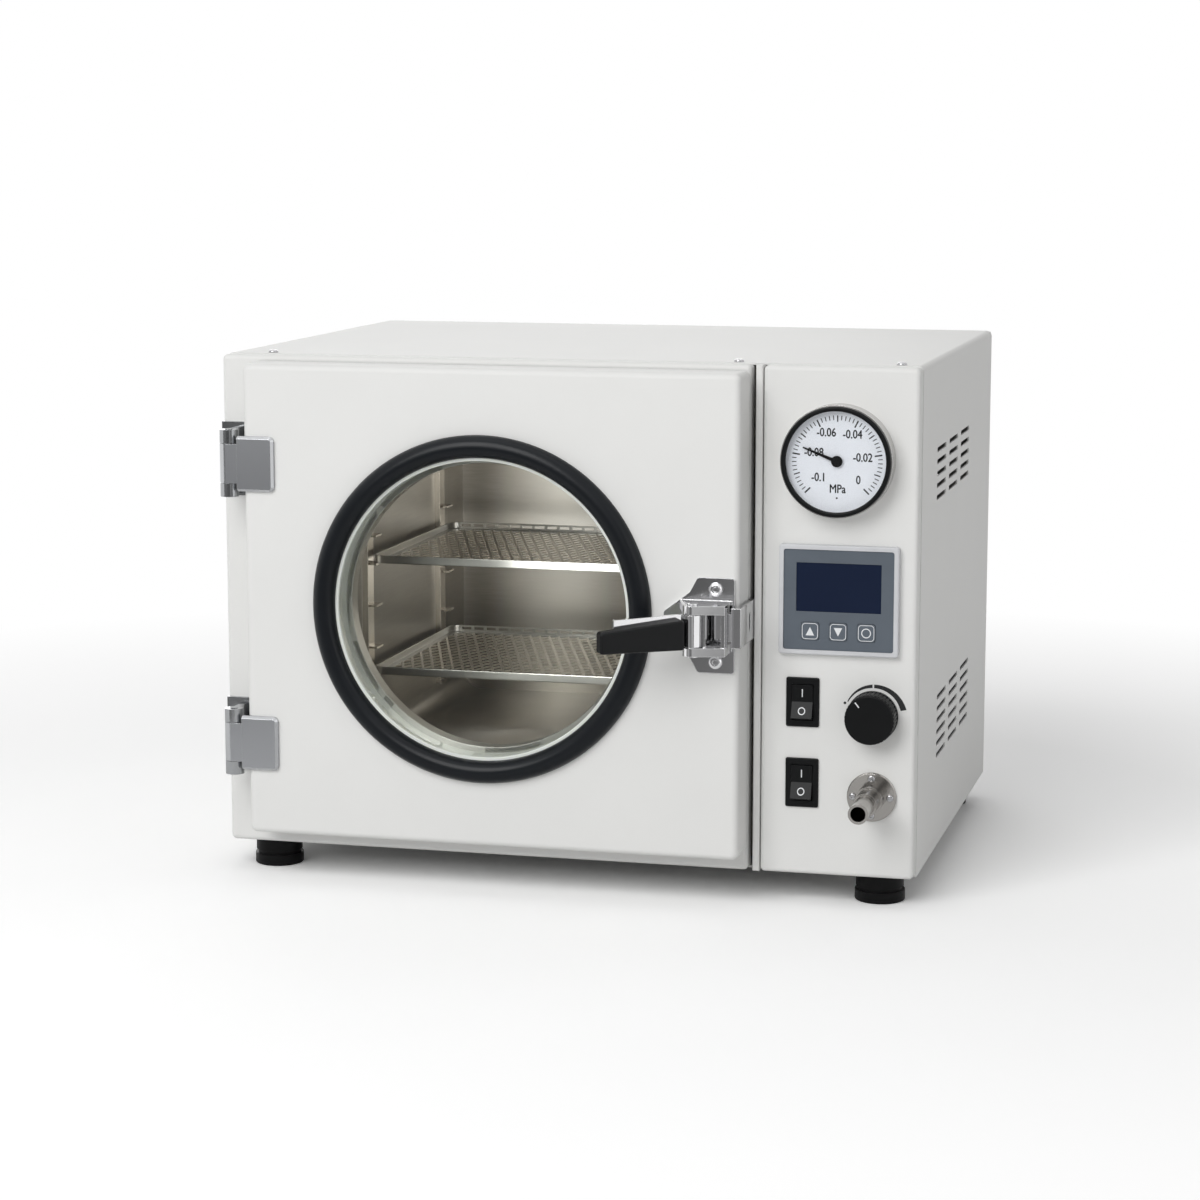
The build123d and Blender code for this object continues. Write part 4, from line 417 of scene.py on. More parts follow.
@dataclass(frozen=True)
class ClearGlass(Finish):
    """Clear flat glass: it lets light straight through and reflects by its angle."""

    shine: float = 0.6

    def shader(self, shade: Shade) -> Value:
        """Writes the shader."""
        smears = shade.noise(60.0, detail=3.0)
        tint = shade.tinted(smears, self.colour, 0.985, 1.0)
        through = shade.node("BsdfTransparent", {}, {"Color": tint})
        gloss = shade.node("BsdfGlossy", {}, {"Color": WHITE, "Roughness": 0.01})
        angle = shade.node("Fresnel", {}, {"IOR": 1.45})
        return shade.node("MixShader", {}, {0: angle * self.shine, 1: through, 2: gloss})


@dataclass(frozen=True)
class Print(Finish):
    """Screen-printed ink, slightly uneven."""

    roughness: float = 0.5

    def shader(self, shade: Shade) -> Value:
        """Writes the shader."""
        patches = shade.noise(2.0, detail=2.0)
        return shade.surface(
            Base_Color=shade.tinted(patches, self.colour, 0.93, 1.04),
            Roughness=self.roughness + patches * 0.1,
        )


@dataclass(frozen=True)
class Display(Finish):
    """An unlit display behind a smooth dark window."""

    def shader(self, shade: Shade) -> Value:
        """Writes the shader."""
        rows = shade.noise(1.2, (1, 1, 6), detail=0.0)
        clouds = shade.noise(50.0, detail=1.0)
        tone = (rows * 0.3 + clouds * 0.7).clipped()
        return shade.surface(
            Base_Color=shade.tinted(tone, self.colour, 0.88, 1.12),
            Roughness=0.3 + clouds * 0.05,
            Specular_IOR_Level=0.14,
        )


@dataclass(frozen=True)
class Wool(Finish):
    """Pressed fibre board."""

    def shader(self, shade: Shade) -> Value:
        """Writes the shader."""
        fibres = shade.noise(3.0, (1, 1, 5), detail=4.0, harshness=0.7)
        return shade.surface(
            Base_Color=shade.tinted(fibres, self.colour, 0.8, 1.0),
            Roughness=0.9,
            Normal=shade.bump(fibres, 0.6),
        )


WHITE_COAT = PowderCoat("white_powder_coat", paint(231, 231, 229))
PAN_COAT = PowderCoat("pan_powder_coat", paint(208, 208, 206))
CHAMBER_STEEL = ChamberSteel("chamber_steel", (0.20, 0.183, 0.16, 1), (0.94, 0.905, 0.85, 1))
UPRIGHT_STEEL = BrushedSteel("upright_steel", (0.66, 0.62, 0.56, 1), (10, 10, 0.5), 0.24)
SHELF_STEEL = BrushedSteel("shelf_steel", (0.80, 0.76, 0.70, 1), (6, 6, 6), 0.3)
RIM_STEEL = BrushedSteel(
    "rim_steel", (0.52, 0.51, 0.485, 1), (0.4, 8, 8), 0.32, depth=0.01, streaks=0.1
)
TURNED_STEEL = BrushedSteel(
    "turned_steel", (0.40, 0.385, 0.365, 1), (1, 12, 1), 0.13, depth=0.002, streaks=0.14
)
GAUGE_STEEL = BrushedSteel(
    "gauge_steel", (0.56, 0.55, 0.54, 1), (1, 12, 1), 0.22, depth=0.004, streaks=0.1
)
# duller flat faces against painted highlight on edges and curves
LATCH_CHROME = Plating(
    "latch_chrome", (0.88, 0.88, 0.89, 1), 0.06, face=(0.64, 0.64, 0.65, 1), face_roughness=0.1
)
BRIGHT_CHROME = Plating("bright_chrome", (0.84, 0.84, 0.85, 1), 0.05)
SCREW_PLATING = Plating("screw_plating", (0.46, 0.46, 0.47, 1), 0.12, edge=0.4)
# duller flat faces against painted highlight on edges and curves
HINGE_LEAF = Plating(
    "hinge_leaf",
    (0.54, 0.55, 0.565, 1),
    0.14,
    face=(0.45, 0.46, 0.48, 1),
    face_roughness=0.3,
    edge=0.7,
)
HINGE_BARREL = Plating("hinge_barrel", (0.42, 0.43, 0.44, 1), 0.1, edge=0.5)
# painted shade: near-black metal for the valve block and stem, seen deep in the nozzle's bore
VALVE_BORE_SHADE = Plating("valve_bore_shade", (0.10, 0.095, 0.09, 1), 0.4)
BLACK_RUBBER = Moulding(
    "black_rubber", paint(21, 24, 28), 0.3, grain=0.5, depth=0.01, rub=1.1, shine=0.2
)
FOOT_RUBBER = Moulding("foot_rubber", paint(15, 15, 16), 0.4, shine=0.14)
BLACK_PLASTIC = Moulding("black_plastic", paint(17, 18, 19), 0.32, shine=0.16)
GRIP_PLASTIC = Moulding("grip_plastic", paint(20, 21, 22), 0.4, grain=0.45, shine=0.2)
GREY_PLASTIC = Moulding("grey_bezel", paint(206, 207, 210), 0.4, rub=1.1)
SLATE_FILM = Moulding("slate_film", paint(92, 100, 109), 0.45, rub=0.8, shine=0.35)
NAVY_DISPLAY = Display("navy_display", paint(21, 32, 56))
PALE_SILICONE = Silicone("pale_silicone", paint(240, 244, 238))
WINDOW_GLASS = ClearGlass("window_glass", (0.975, 0.985, 0.97, 1), 0.35)
LENS_GLASS = ClearGlass("lens_glass", (0.995, 0.997, 1.0, 1), 0.3)
DIAL_PAINT = Print("dial_paint", paint(247, 250, 255), 0.4)
BLACK_INK = Print("black_ink", paint(20, 21, 23))
WHITE_INK = Print("white_ink", paint(232, 234, 236))
NEEDLE_ENAMEL = Moulding("needle_enamel", paint(12, 12, 13), 0.35, shine=0.12)
BRASS = BrushedSteel("turned_brass", (0.62, 0.45, 0.20, 1), (6, 20, 6), 0.28)
COPPER = BrushedSteel("drawn_copper", (0.66, 0.36, 0.24, 1), (8, 8, 1), 0.3)
FIBRE_BOARD = Wool("fibre_board", paint(214, 208, 190))
HEATER_RUBBER = Moulding("heater_mat", paint(132, 62, 40), 0.6, grain=0.9, depth=0.1)


@cache
def material_of(finish: Finish) -> bpy.types.Material:
    """Builds a finish once and returns its material."""
    return finish.material()


# ---- pieces ----------------------------------------------------------------------------


def polar(centre: Point, radius: float, angle: float) -> Point:
    """Gives the point at a radius and an angle in radians round a centre."""
    return (centre[0] + radius * math.cos(angle), centre[1] + radius * math.sin(angle))


def middle(box: tuple[Vector, Vector]) -> Point:
    """Gives the middle of a box in metres, in millimetres across and up."""
    low, high = box
    return ((low.x + high.x) / 2 / MM, (low.z + high.z) / 2 / MM)


def placed(name: str, data: bpy.types.ID) -> bpy.types.Object:
    """Makes an object in the scene."""
    thing = bpy.data.objects.new(name, data)
    bpy.context.scene.collection.objects.link(thing)
    return thing


def thicken(piece: bpy.types.Object, name: str, thickness: float) -> None:
    """Gives a sheet its thickness in millimetres, half on each side."""
    thick = piece.modifiers.new(name, "SOLIDIFY")
    thick.thickness = thickness * MM
    thick.offset = 0


def new_piece(
    name: str,
    points: Iterable[Sequence[float]],
    faces: Iterable[Sequence[int]],
    finish: Finish,
    body: str,
) -> bpy.types.Object:
    """Makes a mesh piece from points in metres, which rides on a body."""
    mesh = bpy.data.meshes.new(name)
    mesh.from_pydata([tuple(p) for p in points], [], [tuple(f) for f in faces])
    mesh.update()
    piece = placed(name, mesh)
    mesh.materials.append(material_of(finish))
    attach(piece, body)
    log.info("%s: %d points, rides on %s", name, len(mesh.vertices), body)
    return piece


def turned(
    name: str, centre: Point, profile: Sequence[Point], finish: Finish, body: str
) -> bpy.types.Object:
    """Turns a closed profile about a line that runs front to back.

    The profile gives the radius and depth of each corner in millimetres, and a radius of 0
    closes the middle. The centre is where the line crosses the front.
    """
    points: list[Point3] = []
    rings: list[list[int]] = []
    for radius, depth in profile:
        count = FACETS if radius > 0 else 1
        rings.append(list(range(len(points), len(points) + count)))
        for i in range(count):
            x, z = polar(centre, radius, math.tau * i / FACETS)
            points.append((x * MM, depth * MM, z * MM))
    faces = []
    for here, there in zip(rings, rings[1:] + rings[:1]):
        for i in range(FACETS):
            j = i + 1
            quad = ((here, i), (here, j), (there, j), (there, i))
            face = tuple(dict.fromkeys(ring[k % len(ring)] for ring, k in quad))
            if len(face) > 2:
                faces.append(face)
    piece = new_piece(name, points, faces, finish, body)
    tidy = bmesh.new()
    tidy.from_mesh(piece.data)
    bmesh.ops.recalc_face_normals(tidy, faces=tidy.faces)
    tidy.to_mesh(piece.data)
    tidy.free()
    for face in piece.data.polygons:
        face.use_smooth = True
    piece.data.set_sharp_from_angle(angle=SHARP_ANGLE)
    return piece


@dataclass
class Transfer:
    """A print laid on a node: flat outlines dropped onto the surface below them."""

    node: bpy.types.Object
    lift: float = 0.06
    step: float = 0.5  # the longest straight piece of a line
    narrow: float = 0.8  # the letters' width over their usual width
    em: float = 1.4  # the size of the letters over their height

    def __post_init__(self) -> None:
        """Reads the node's surface and starts an empty print."""
        self.skin = BVHTree.FromObject(self.node, bpy.context.evaluated_depsgraph_get())
        self.points: list[Vector] = []
        self.faces: list[tuple[int, ...]] = []

    def _dropped(self, x: float, z: float) -> Vector:
        """Gives the point on the surface behind x and z, lifted a little."""
        start = Vector((x * MM, -1.0, z * MM))
        hit = self.skin.ray_cast(start, Vector((0, 1, 0)))[0]
        depth = hit.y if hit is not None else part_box(self.node.name)[0].y
        return Vector((x * MM, depth - self.lift * MM, z * MM))

    def strip(self, left: Sequence[Point], right: Sequence[Point]) -> None:
        """Adds a band between two lines with as many points, in millimetres across and up."""
        start = len(self.points)
        for a, b in zip(left, right):
            self.points += [self._dropped(*a), self._dropped(*b)]
        for place in range(len(left) - 1):
            first = start + 2 * place
            self.faces.append((first, first + 2, first + 3, first + 1))

    def line(self, start: Point, end: Point, width: float) -> None:
        """Adds a straight line of some width."""
        length = math.dist(start, end)
        dx, dz = end[0] - start[0], end[1] - start[1]
        across = (-dz / length * width / 2, dx / length * width / 2)
        count = max(1, math.ceil(length / self.step))
        run = [(start[0] + dx * i / count, start[1] + dz * i / count) for i in range(count + 1)]
        self.strip(
            [(x + across[0], z + across[1]) for x, z in run],
            [(x - across[0], z - across[1]) for x, z in run],
        )

    def arc(
        self,
        centre: Point,
        inner: Sequence[float],
        outer: Sequence[float],
        start: float,
        end: float,
    ) -> None:
        """Adds part of a ring.

        The radii are those at its start and its end. The angles are in degrees,
        anticlockwise from the right.
        """
        count = max(8, math.ceil(math.radians(abs(end - start)) * outer[1] / self.step))
        lines: tuple[list[Point], list[Point]] = ([], [])
        for i in range(count + 1):
            share = i / count
            angle = math.radians(start + (end - start) * share)
            for line, radii in zip(lines, (inner, outer)):
                line.append(polar(centre, radii[0] + (radii[1] - radii[0]) * share, angle))
        self.strip(*lines)

    def ring(self, centre: Point, inner: float, outer: float) -> None:
        """Adds a full ring, or a dot if its inner radius is 0."""
        self.arc(centre, (inner, inner), (outer, outer), 0, 360)

    def fan(self, outline: Sequence[Point]) -> None:
        """Adds a filled convex outline."""
        start = len(self.points)
        self.points += [self._dropped(*p) for p in outline]
        self.faces.append(tuple(range(start, start + len(outline))))

    def frame(self, centre: Point, half: float, radius: float, width: float) -> None:
        """Adds a rounded square; half its width and its radius go to the line's middle."""
        lines: tuple[list[Point], list[Point]] = ([], [])
        for corner, (sx, sz) in enumerate(((1, 1), (-1, 1), (-1, -1), (1, -1))):
            pivot = (centre[0] + sx * (half - radius), centre[1] + sz * (half - radius))
            for i in range(7):
                angle = math.radians(90 * corner + 15 * i)
                for line, r in zip(lines, (radius - width / 2, radius + width / 2)):
                    line.append(polar(pivot, r, angle))
        for line in lines:
            line.append(line[0])
        self.strip(*lines)

    def words(self, text: str, centre: Point, height: float, weight: float = 0.0) -> None:
        """Adds words of a height, thickened on each side by a weight, in millimetres."""
        letters = bpy.data.curves.new("letters", "FONT")
        letters.body = text
        letters.align_x = "CENTER"
        letters.align_y = "CENTER"
        letters.size = height * self.em
        letters.resolution_u = 3
        holder = placed("letters", letters)
        mesh = bpy.data.meshes.new_from_object(
            holder.evaluated_get(bpy.context.evaluated_depsgraph_get())
        )
        shifts = ((0.0, 0.0),)
        if weight:
            shifts = ((-weight, 0.0), (weight, 0.0), (0.0, weight), (0.0, -weight))
        for across, up in shifts:
            start = len(self.points)
            self.points += [
                self._dropped(centre[0] + v.co.x * self.narrow + across, centre[1] + v.co.y + up)
                for v in mesh.vertices
            ]
            self.faces += [tuple(start + i for i in p.vertices) for p in mesh.polygons]
        bpy.data.objects.remove(holder)
        bpy.data.curves.remove(letters)
        bpy.data.meshes.remove(mesh)

    def made(self, name: str, finish: Finish, body: str) -> bpy.types.Object:
        """Makes the print's piece."""
        piece = new_piece(name, self.points, self.faces, finish, body)
        thicken(piece, "ink", INK_THICKNESS)
        return piece


# ---- sub-assemblies --------------------------------------------------------------------


@dataclass
class Assembly:
    """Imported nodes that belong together."""

    nodes: Mapping[str, bpy.types.Object]

    def dress(self, finish: Finish, *names: str) -> None:
        """Gives a finish to some of the nodes."""
        for name in names:
            slots = self.nodes[name].data.materials
            if not slots:
                slots.append(None)
            for place in range(len(slots)):
                slots[place] = material_of(finish)
            log.info("%s: %s", name, finish.name)

    def build(self) -> None:
        """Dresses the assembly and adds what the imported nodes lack."""
        raise NotImplementedError


@dataclass
class Cabinet(Assembly):
    """The painted cabinet and what is behind its panels."""

    def build(self) -> None:
        """Dresses the cabinet."""
        self.dress(WHITE_COAT, "front_frame", "control_panel", "outer_cover", "bulkhead")
        self.dress(PAN_COAT, "base_pan", "back_panel")
        self.dress(SCREW_PLATING, "cabinet_screws")
        self.dress(FOOT_RUBBER, "feet")
        self.dress(FIBRE_BOARD, "insulation")
        self.dress(HEATER_RUBBER, "heater_mats")
        self.dress(COPPER, "vacuum_pipe")
        self.dress(BRASS, "inlet_blades")
        # painted shade deep in the nozzle's bore
        self.dress(VALVE_BORE_SHADE, "valve_block", "valve_stem")
        self.dress(BLACK_PLASTIC, "heater_relay", "mains_inlet")


@dataclass
class MeshShelf:
    """A shelf of expanded metal in a folded rim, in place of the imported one."""

    name: str
    corner: float = 9.0  # radius of the outline's corners
    tightest: float = 1.0  # radius of the corners inside it
    turn_steps: int = 8
    wall: float = 1.2
    border: float = 5.0
    overlap: float = 0.6  # of the mesh and the border
    cell: Point = (9.0, 26.0)
    bond: Point = (1.1, 3.2)
    strand: float = 0.7
    lean: float = 0.3
    bend: float = 0.9
    bend_middle: float = 0.25
    lip: Point = (0.3, 0.4)
    root: float = 0.5
    slot: Point = (9.0, 2.5)
    slot_pitch: float = 11.6
    slot_height: float = 0.62  # of the rim's height
    back_wall: float = 0.98  # of the wall's thickness

    def build(self) -> None:
        """Makes the mesh, the rim and its slotted back."""
        low, high = (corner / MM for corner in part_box(self.name))
        self.low, self.high = low, high
        for piece in (self._mesh(), self._rim(), self._back()):
            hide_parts(self.name)

    def _mesh(self) -> bpy.types.Object:
        """Makes the expanded metal: crossings joined by slanting strands."""
        step_x, step_y = self.cell[0] / 2, self.cell[1] / 2
        inset = self.wall + self.border - self.overlap
        columns = int((self.high.x - self.low.x - 2 * inset) / step_x)
        rows = int((self.high.y - self.low.y - 2 * inset) / step_y)
        start_x = (self.low.x + self.high.x - columns * step_x) / 2
        start_y = (self.low.y + self.high.y - rows * step_y) / 2
        level = self.low.z + self.wall / 2
        points: list[Point3] = []
        faces: list[tuple[int, ...]] = []
        crossing: dict[tuple[int, int], int] = {}
        half_x, half_y = self.bond
        for i in range(columns + 1):
            for j in range(rows + 1):
                if (i + j) % 2:
                    continue
                x, y = start_x + i * step_x, start_y + j * step_y
                crossing[i, j] = len(points)
                for dx, dy in ((half_x, 0), (0, half_y), (-half_x, 0), (0, -half_y)):
                    z = level + self.lean * dy / half_y
                    points.append(((x + dx) * MM, (y + dy) * MM, z * MM))
        for (i, j), first in crossing.items():
            right, back, left, front = range(first, first + 4)
            faces.append((right, back, left, front))
            ahead = crossing.get((i + 1, j + 1))
            if ahead is not None:
                faces.append((right, ahead + 3, ahead + 2, back))
            across = crossing.get((i - 1, j + 1))
            if across is not None:
                faces.append((back, across, across + 3, left))
        piece = new_piece(f"{self.name}_mesh", points, faces, SHELF_STEEL, self.name)
        thicken(piece, "strand", self.strand)
        return piece

    def _outline(self, inset: float) -> list[Point]:
        """Gives the rounded outline, from the back left corner round the front."""
        radius = max(self.corner - inset, self.tightest)
        low, high = self.low, self.high
        left, right = (low.x, low.y, 180), (high.x, low.y, 270)
        turns = ((low.x, high.y, 90), left, right, (high.x, high.y, 0))
        spots = []
        for x, y, first in turns:
            side = 1 if x == low.x else -1
            end = 1 if y == low.y else -1
            pivot = (x + side * (inset + radius), y + end * (inset + radius))
            for i in range(self.turn_steps + 1):
                spots.append(polar(pivot, radius, math.radians(first + 90 * i / self.turn_steps)))
        return spots

    def _rim(self) -> bpy.types.Object:
        """Sweeps the border and the folded edge round three sides, open along the back."""
        top = self.high.z - self.low.z
        wall, inner = self.wall, self.wall + self.border
        bend, half, root = self.bend, self.bend_middle, self.root
        lip, below = self.lip[0], top - self.lip[1]
        profile = (
            (inner, 0.0), (bend, 0.0), (half, half), (0.0, bend), (0.0, below), (lip, top),
            (wall - lip, top), (wall, below), (wall, wall + root), (wall + root, wall),
            (inner, wall),
        )
        points, faces = [], []
        loops = [self._outline(inset) for inset, _ in profile]
        count, size = len(loops[0]), len(profile)
        for i in range(count):
            for loop, (_, height) in zip(loops, profile):
                points.append((loop[i][0] * MM, loop[i][1] * MM, (self.low.z + height) * MM))
        for i in range(count - 1):
            here, there = i * size, (i + 1) * size
            for j in range(size):
                k = (j + 1) % size
                faces.append((here + j, here + k, there + k, there + j))
        faces.append(tuple(range(size)))
        faces.append(tuple((count - 1) * size + j for j in reversed(range(size))))
        return new_piece(f"{self.name}_rim", points, faces, RIM_STEEL, self.name)

    def _back(self) -> bpy.types.Object:
        """Makes the back border and its row of slots."""
        left, right = self.low.x + self.corner, self.high.x - self.corner
        depth = self.high.y - self.wall / 2
        top = self.high.z - self.low.z
        count = int((right - left) / self.slot_pitch)
        pitch = (right - left) / count
        level, half = top * self.slot_height, self.slot[1] / 2
        heights = (self.wall / 2, level - half, level + half, top)
        edges = [left]
        for i in range(count):
            spot = left + (i + 0.5) * pitch
            edges += [spot - self.slot[0] / 2, spot + self.slot[0] / 2]
        edges.append(right)
        points: list[Point3] = [
            (x * MM, depth * MM, (self.low.z + height) * MM) for x in edges for height in heights
        ]
        faces = []
        for i in range(len(edges) - 1):
            for j in range(3):
                if j == 1 and i % 2:
                    continue
                first = 4 * i + j
                faces.append((first, first + 4, first + 5, first + 1))
        inner = len(points)
        reach = self.high.y - self.wall - self.border
        level = (self.low.z + self.wall / 2) * MM
        points += [(x * MM, reach * MM, level) for x in (left, right)]
        faces.append((0, inner, inner + 1, 4 * (len(edges) - 1)))
        piece = new_piece(f"{self.name}_back", points, faces, RIM_STEEL, self.name)
        thicken(piece, "sheet", self.wall * self.back_wall)
        return piece


@dataclass
class Chamber(Assembly):
    """The steel chamber with its seal, uprights and shelves."""

    def build(self) -> None:
        """Dresses the chamber and makes its shelves."""
        self.dress(CHAMBER_STEEL, "chamber")
        self.dress(PALE_SILICONE, "door_seal")
        self.dress(UPRIGHT_STEEL, "shelf_uprights", "temperature_probe")
        for name in ("upper_shelf", "lower_shelf"):
            self.dress(SHELF_STEEL, name)
            MeshShelf(name).build()


@dataclass
class Door(Assembly):
    """The door with its round window and hinges."""

    lip_over: float = 1.0  # of the sleeve's lip over the glass
    retainer_inner: float = 116.5
    edge: float = 0.5
    gap: float = 0.1

    def build(self) -> None:
        """Dresses the door and turns its window."""
        self.dress(WHITE_COAT, "door_shell")
        self.dress(RIM_STEEL, "door_liner", "glass_retainer")
        self.dress(SCREW_PLATING, "retainer_screws")
        self.dress(PALE_SILICONE, "window_sleeve")
        self.dress(WINDOW_GLASS, "window_glass")
        self.dress(BLACK_RUBBER, "window_trim")
        self.dress(HINGE_LEAF, "upper_hinge_door_leaf", "lower_hinge_door_leaf")
        self.dress(HINGE_BARREL, "upper_hinge_frame_leaf", "lower_hinge_frame_leaf", "hinge_pins")
        self._window()

    def _window(self) -> None:
        """Turns the glass and its sleeve with smooth round walls."""
        low, high = (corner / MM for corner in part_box("window_glass"))
        centre = ((low.x + high.x) / 2, (low.z + high.z) / 2)
        radius, gap, bevel = (high.x - low.x) / 2, self.gap, self.edge
        glass = turned(
            "window_pane",
            centre,
            (
                (0.0, low.y), (radius - gap - bevel, low.y), (radius - gap, low.y + bevel),
                (radius - gap, high.y - bevel), (radius - gap - bevel, high.y), (0.0, high.y),
            ),
            WINDOW_GLASS,
            "door",
        )
        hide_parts("window_glass")
        front, back = (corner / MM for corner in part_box("window_sleeve"))
        outer, lip = (back.x - front.x) / 2 - gap, radius - self.lip_over
        sleeve = turned(
            "window_sleeve_ring",
            centre,
            (
                (outer, front.y), (lip + bevel, front.y), (lip, front.y + bevel),
                (lip, low.y - gap), (radius, low.y - gap), (radius, back.y - bevel),
                (radius + bevel, back.y), (outer, back.y),
            ),
            PALE_SILICONE,
            "door",
        )
        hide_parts("window_sleeve")
        front, back = (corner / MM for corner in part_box("glass_retainer"))
        outer, inner = (back.x - front.x) / 2, self.retainer_inner
        retainer = turned(
            "glass_retainer_ring",
            centre,
            (
                (inner, front.y + bevel), (inner + bevel, front.y), (outer, front.y),
                (outer, back.y - bevel), (outer - bevel, back.y), (inner + bevel, back.y),
                (inner, back.y - bevel),
            ),
            RIM_STEEL,
            "door",
        )
        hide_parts("glass_retainer")


@dataclass
class Latch(Assembly):
    """The lever latch and its strike."""

    def build(self) -> None:
        """Dresses the latch."""
        self.dress(LATCH_CHROME, "latch_base", "latch_strike")
        self.dress(BRIGHT_CHROME, "lever_arm", "latch_pin", "latch_bolt", "latch_screws")
        self.dress(GRIP_PLASTIC, "lever_grip")


class Graduation(Enum):
    """The kinds of line on the gauge's scale: length and width in millimetres."""

    NUMBERED = (6.0, 1.15)
    HALFWAY = (5.0, 0.95)
    SINGLE = (3.6, 0.68)


@dataclass
class Gauge(Assembly):
    """The vacuum gauge with its printed dial."""

    scale_radius: float = 36.0
    sweep: float = 270.0
    first_angle: float = 225.0
    divisions: int = 50
    letter_height: float = 6.8
    letter_weight: float = 0.15
    dot_drop: float = 29.0
    dot_radius: float = 0.8
    words: tuple[tuple[str, Point], ...] = (
        ("-0.1", (-14.6, -13.1)),
        ("-0.08", (-18.5, 6.5)),
        ("-0.06", (-8.8, 22.3)),
        ("-0.04", (11.9, 21.2)),
        ("-0.02", (20.2, 3.1)),
        ("0", (16.9, -14.6)),
        ("MPa", (0.5, -22.0)),
    )

    def build(self) -> None:
        """Dresses the gauge and prints its dial."""
        self.dress(GAUGE_STEEL, "gauge_case")
        self.dress(BLACK_PLASTIC, "gauge_ring")
        self.dress(DIAL_PAINT, "gauge_dial")
        self.dress(NEEDLE_ENAMEL, "gauge_needle")
        self.dress(LENS_GLASS, "gauge_lens")
        self._print_dial()

    def _print_dial(self) -> None:
        """Prints the scale, its numbers and its unit."""
        centre = middle(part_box("gauge_dial"))
        dial = Transfer(self.nodes["gauge_dial"])
        for number in range(self.divisions + 1):
            kind = Graduation.SINGLE
            if number % 10 == 0:
                kind = Graduation.NUMBERED
            elif number % 5 == 0:
                kind = Graduation.HALFWAY
            length, width = kind.value
            angle = math.radians(self.first_angle - self.sweep * number / self.divisions)
            outer = polar(centre, self.scale_radius, angle)
            dial.line(outer, polar(centre, self.scale_radius - length, angle), width)
        for text, (across, up) in self.words:
            place = (centre[0] + across, centre[1] + up)
            dial.words(text, place, self.letter_height, self.letter_weight)
        dial.ring((centre[0], centre[1] - self.dot_drop), 0.0, self.dot_radius)
        dial.made("gauge_dial_print", BLACK_INK, "cabinet")


class Mark(Enum):
    """The marks on the controller's keys."""

    UP = "up_key"
    DOWN = "down_key"
    SET = "set_key"


@dataclass
class Controller(Assembly):
    """The temperature controller with its marked keys."""

    line: float = 0.5
    corner: float = 2.6
    half: float = 6.2
    triangle: float = 3.4
    ring: float = 3.9
    ring_width: float = 0.8

    def build(self) -> None:
        """Dresses the controller and prints its keys."""
        self.dress(GREY_PLASTIC, "controller_case")
        self.dress(SLATE_FILM, "controller_face", "up_key", "down_key", "set_key")
        self.dress(NAVY_DISPLAY, "controller_screen")
        for mark in Mark:
            self._print_key(mark)

    def _print_key(self, mark: Mark) -> None:
        """Prints the outline and the mark of one key."""
        centre = middle(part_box(mark.value))
        skin = Transfer(self.nodes[mark.value])
        skin.frame(centre, self.half, self.corner, self.line)
        if mark is Mark.SET:
            skin.ring(centre, self.ring - self.ring_width, self.ring)
        else:
            wide = self.triangle
            tall = wide if mark is Mark.UP else -wide
            turns = ((0, tall), (-wide, -tall), (wide, -tall))
            skin.fan([(centre[0] + across, centre[1] + up) for across, up in turns])
        skin.made(f"{mark.value}_print", WHITE_INK, mark.value)


@dataclass
class Switches(Assembly):
    """The two rocker switches."""

    stroke: float = 0.8
    bar: float = 6.4
    bar_up: float = 4.4
    ring: float = 3.0
    ring_down: float = 6.6

    def build(self) -> None:
        """Dresses the switches and marks their rockers."""
        for end in ("upper", "lower"):
            self.dress(BLACK_PLASTIC, f"{end}_switch_body", f"{end}_rocker")
            across, up = middle(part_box(f"{end}_rocker"))
            skin = Transfer(self.nodes[f"{end}_rocker"])
            foot = (across, up + self.bar_up)
            skin.line(foot, (across, foot[1] + self.bar), self.stroke)
            skin.ring((across, up - self.ring_down), self.ring - self.stroke, self.ring)
            skin.made(f"{end}_rocker_print", WHITE_INK, f"{end}_rocker")


@dataclass
class ValveControls(Assembly):
    """The vacuum knob with its printed scale, and the hose nozzle."""

    pointer: Point = (12.9, 17.9)
    pointer_angle: float = 129.0
    pointer_width: float = 1.0
    scale_inner: float = 22.6
    thin_outer: float = 23.4
    thick_outer: float = 27.4
    thin_arc: Point = (152, 91.5)
    thick_arc: Point = (88.5, 13)
    dot_radius: float = 1.1
    dot_distance: float = 24.6
    dot_angle: float = 157.0

    def build(self) -> None:
        """Dresses the knob and nozzle and prints the scale and the pointer."""
        self.dress(BLACK_PLASTIC, "knob")
        self.dress(TURNED_STEEL, "nozzle_flange", "nozzle_tube")
        self.dress(SCREW_PLATING, "nozzle_screws")
        centre = middle(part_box("knob"))
        angle = math.radians(self.pointer_angle)
        cap = Transfer(self.nodes["knob"])
        inner, outer = (polar(centre, radius, angle) for radius in self.pointer)
        cap.line(inner, outer, self.pointer_width)
        cap.made("knob_pointer", WHITE_INK, "knob")
        panel = Transfer(self.nodes["control_panel"])
        halfway = (self.thin_outer + self.thick_outer) / 2
        inside = (self.scale_inner, self.scale_inner)
        panel.arc(centre, inside, (self.thin_outer, halfway), *self.thin_arc)
        panel.arc(centre, inside, (halfway, self.thick_outer), *self.thick_arc)
        dot = polar(centre, self.dot_distance, math.radians(self.dot_angle))
        panel.ring(dot, 0.0, self.dot_radius)
        panel.made("knob_scale_print", BLACK_INK, "cabinet")


# ---- studio ----------------------------------------------------------------------------


def aimed(
    name: str, data: bpy.types.ID, place: Sequence[float], towards: Sequence[float]
) -> bpy.types.Object:
    """Stands a camera or a lamp at a place and turns it towards another."""
    thing = placed(name, data)
    thing.location = place
    ahead = Vector(towards) - Vector(place)
    thing.rotation_euler = ahead.to_track_quat("-Z", "Y").to_euler()
    return thing


def sheet(name: str, outline: Sequence[Point3]) -> bpy.types.Object:
    """Makes a flat mesh with four corners, in metres."""
    mesh = bpy.data.meshes.new(name)
    mesh.from_pydata(outline, [], [(0, 1, 2, 3)])
    return placed(name, mesh)


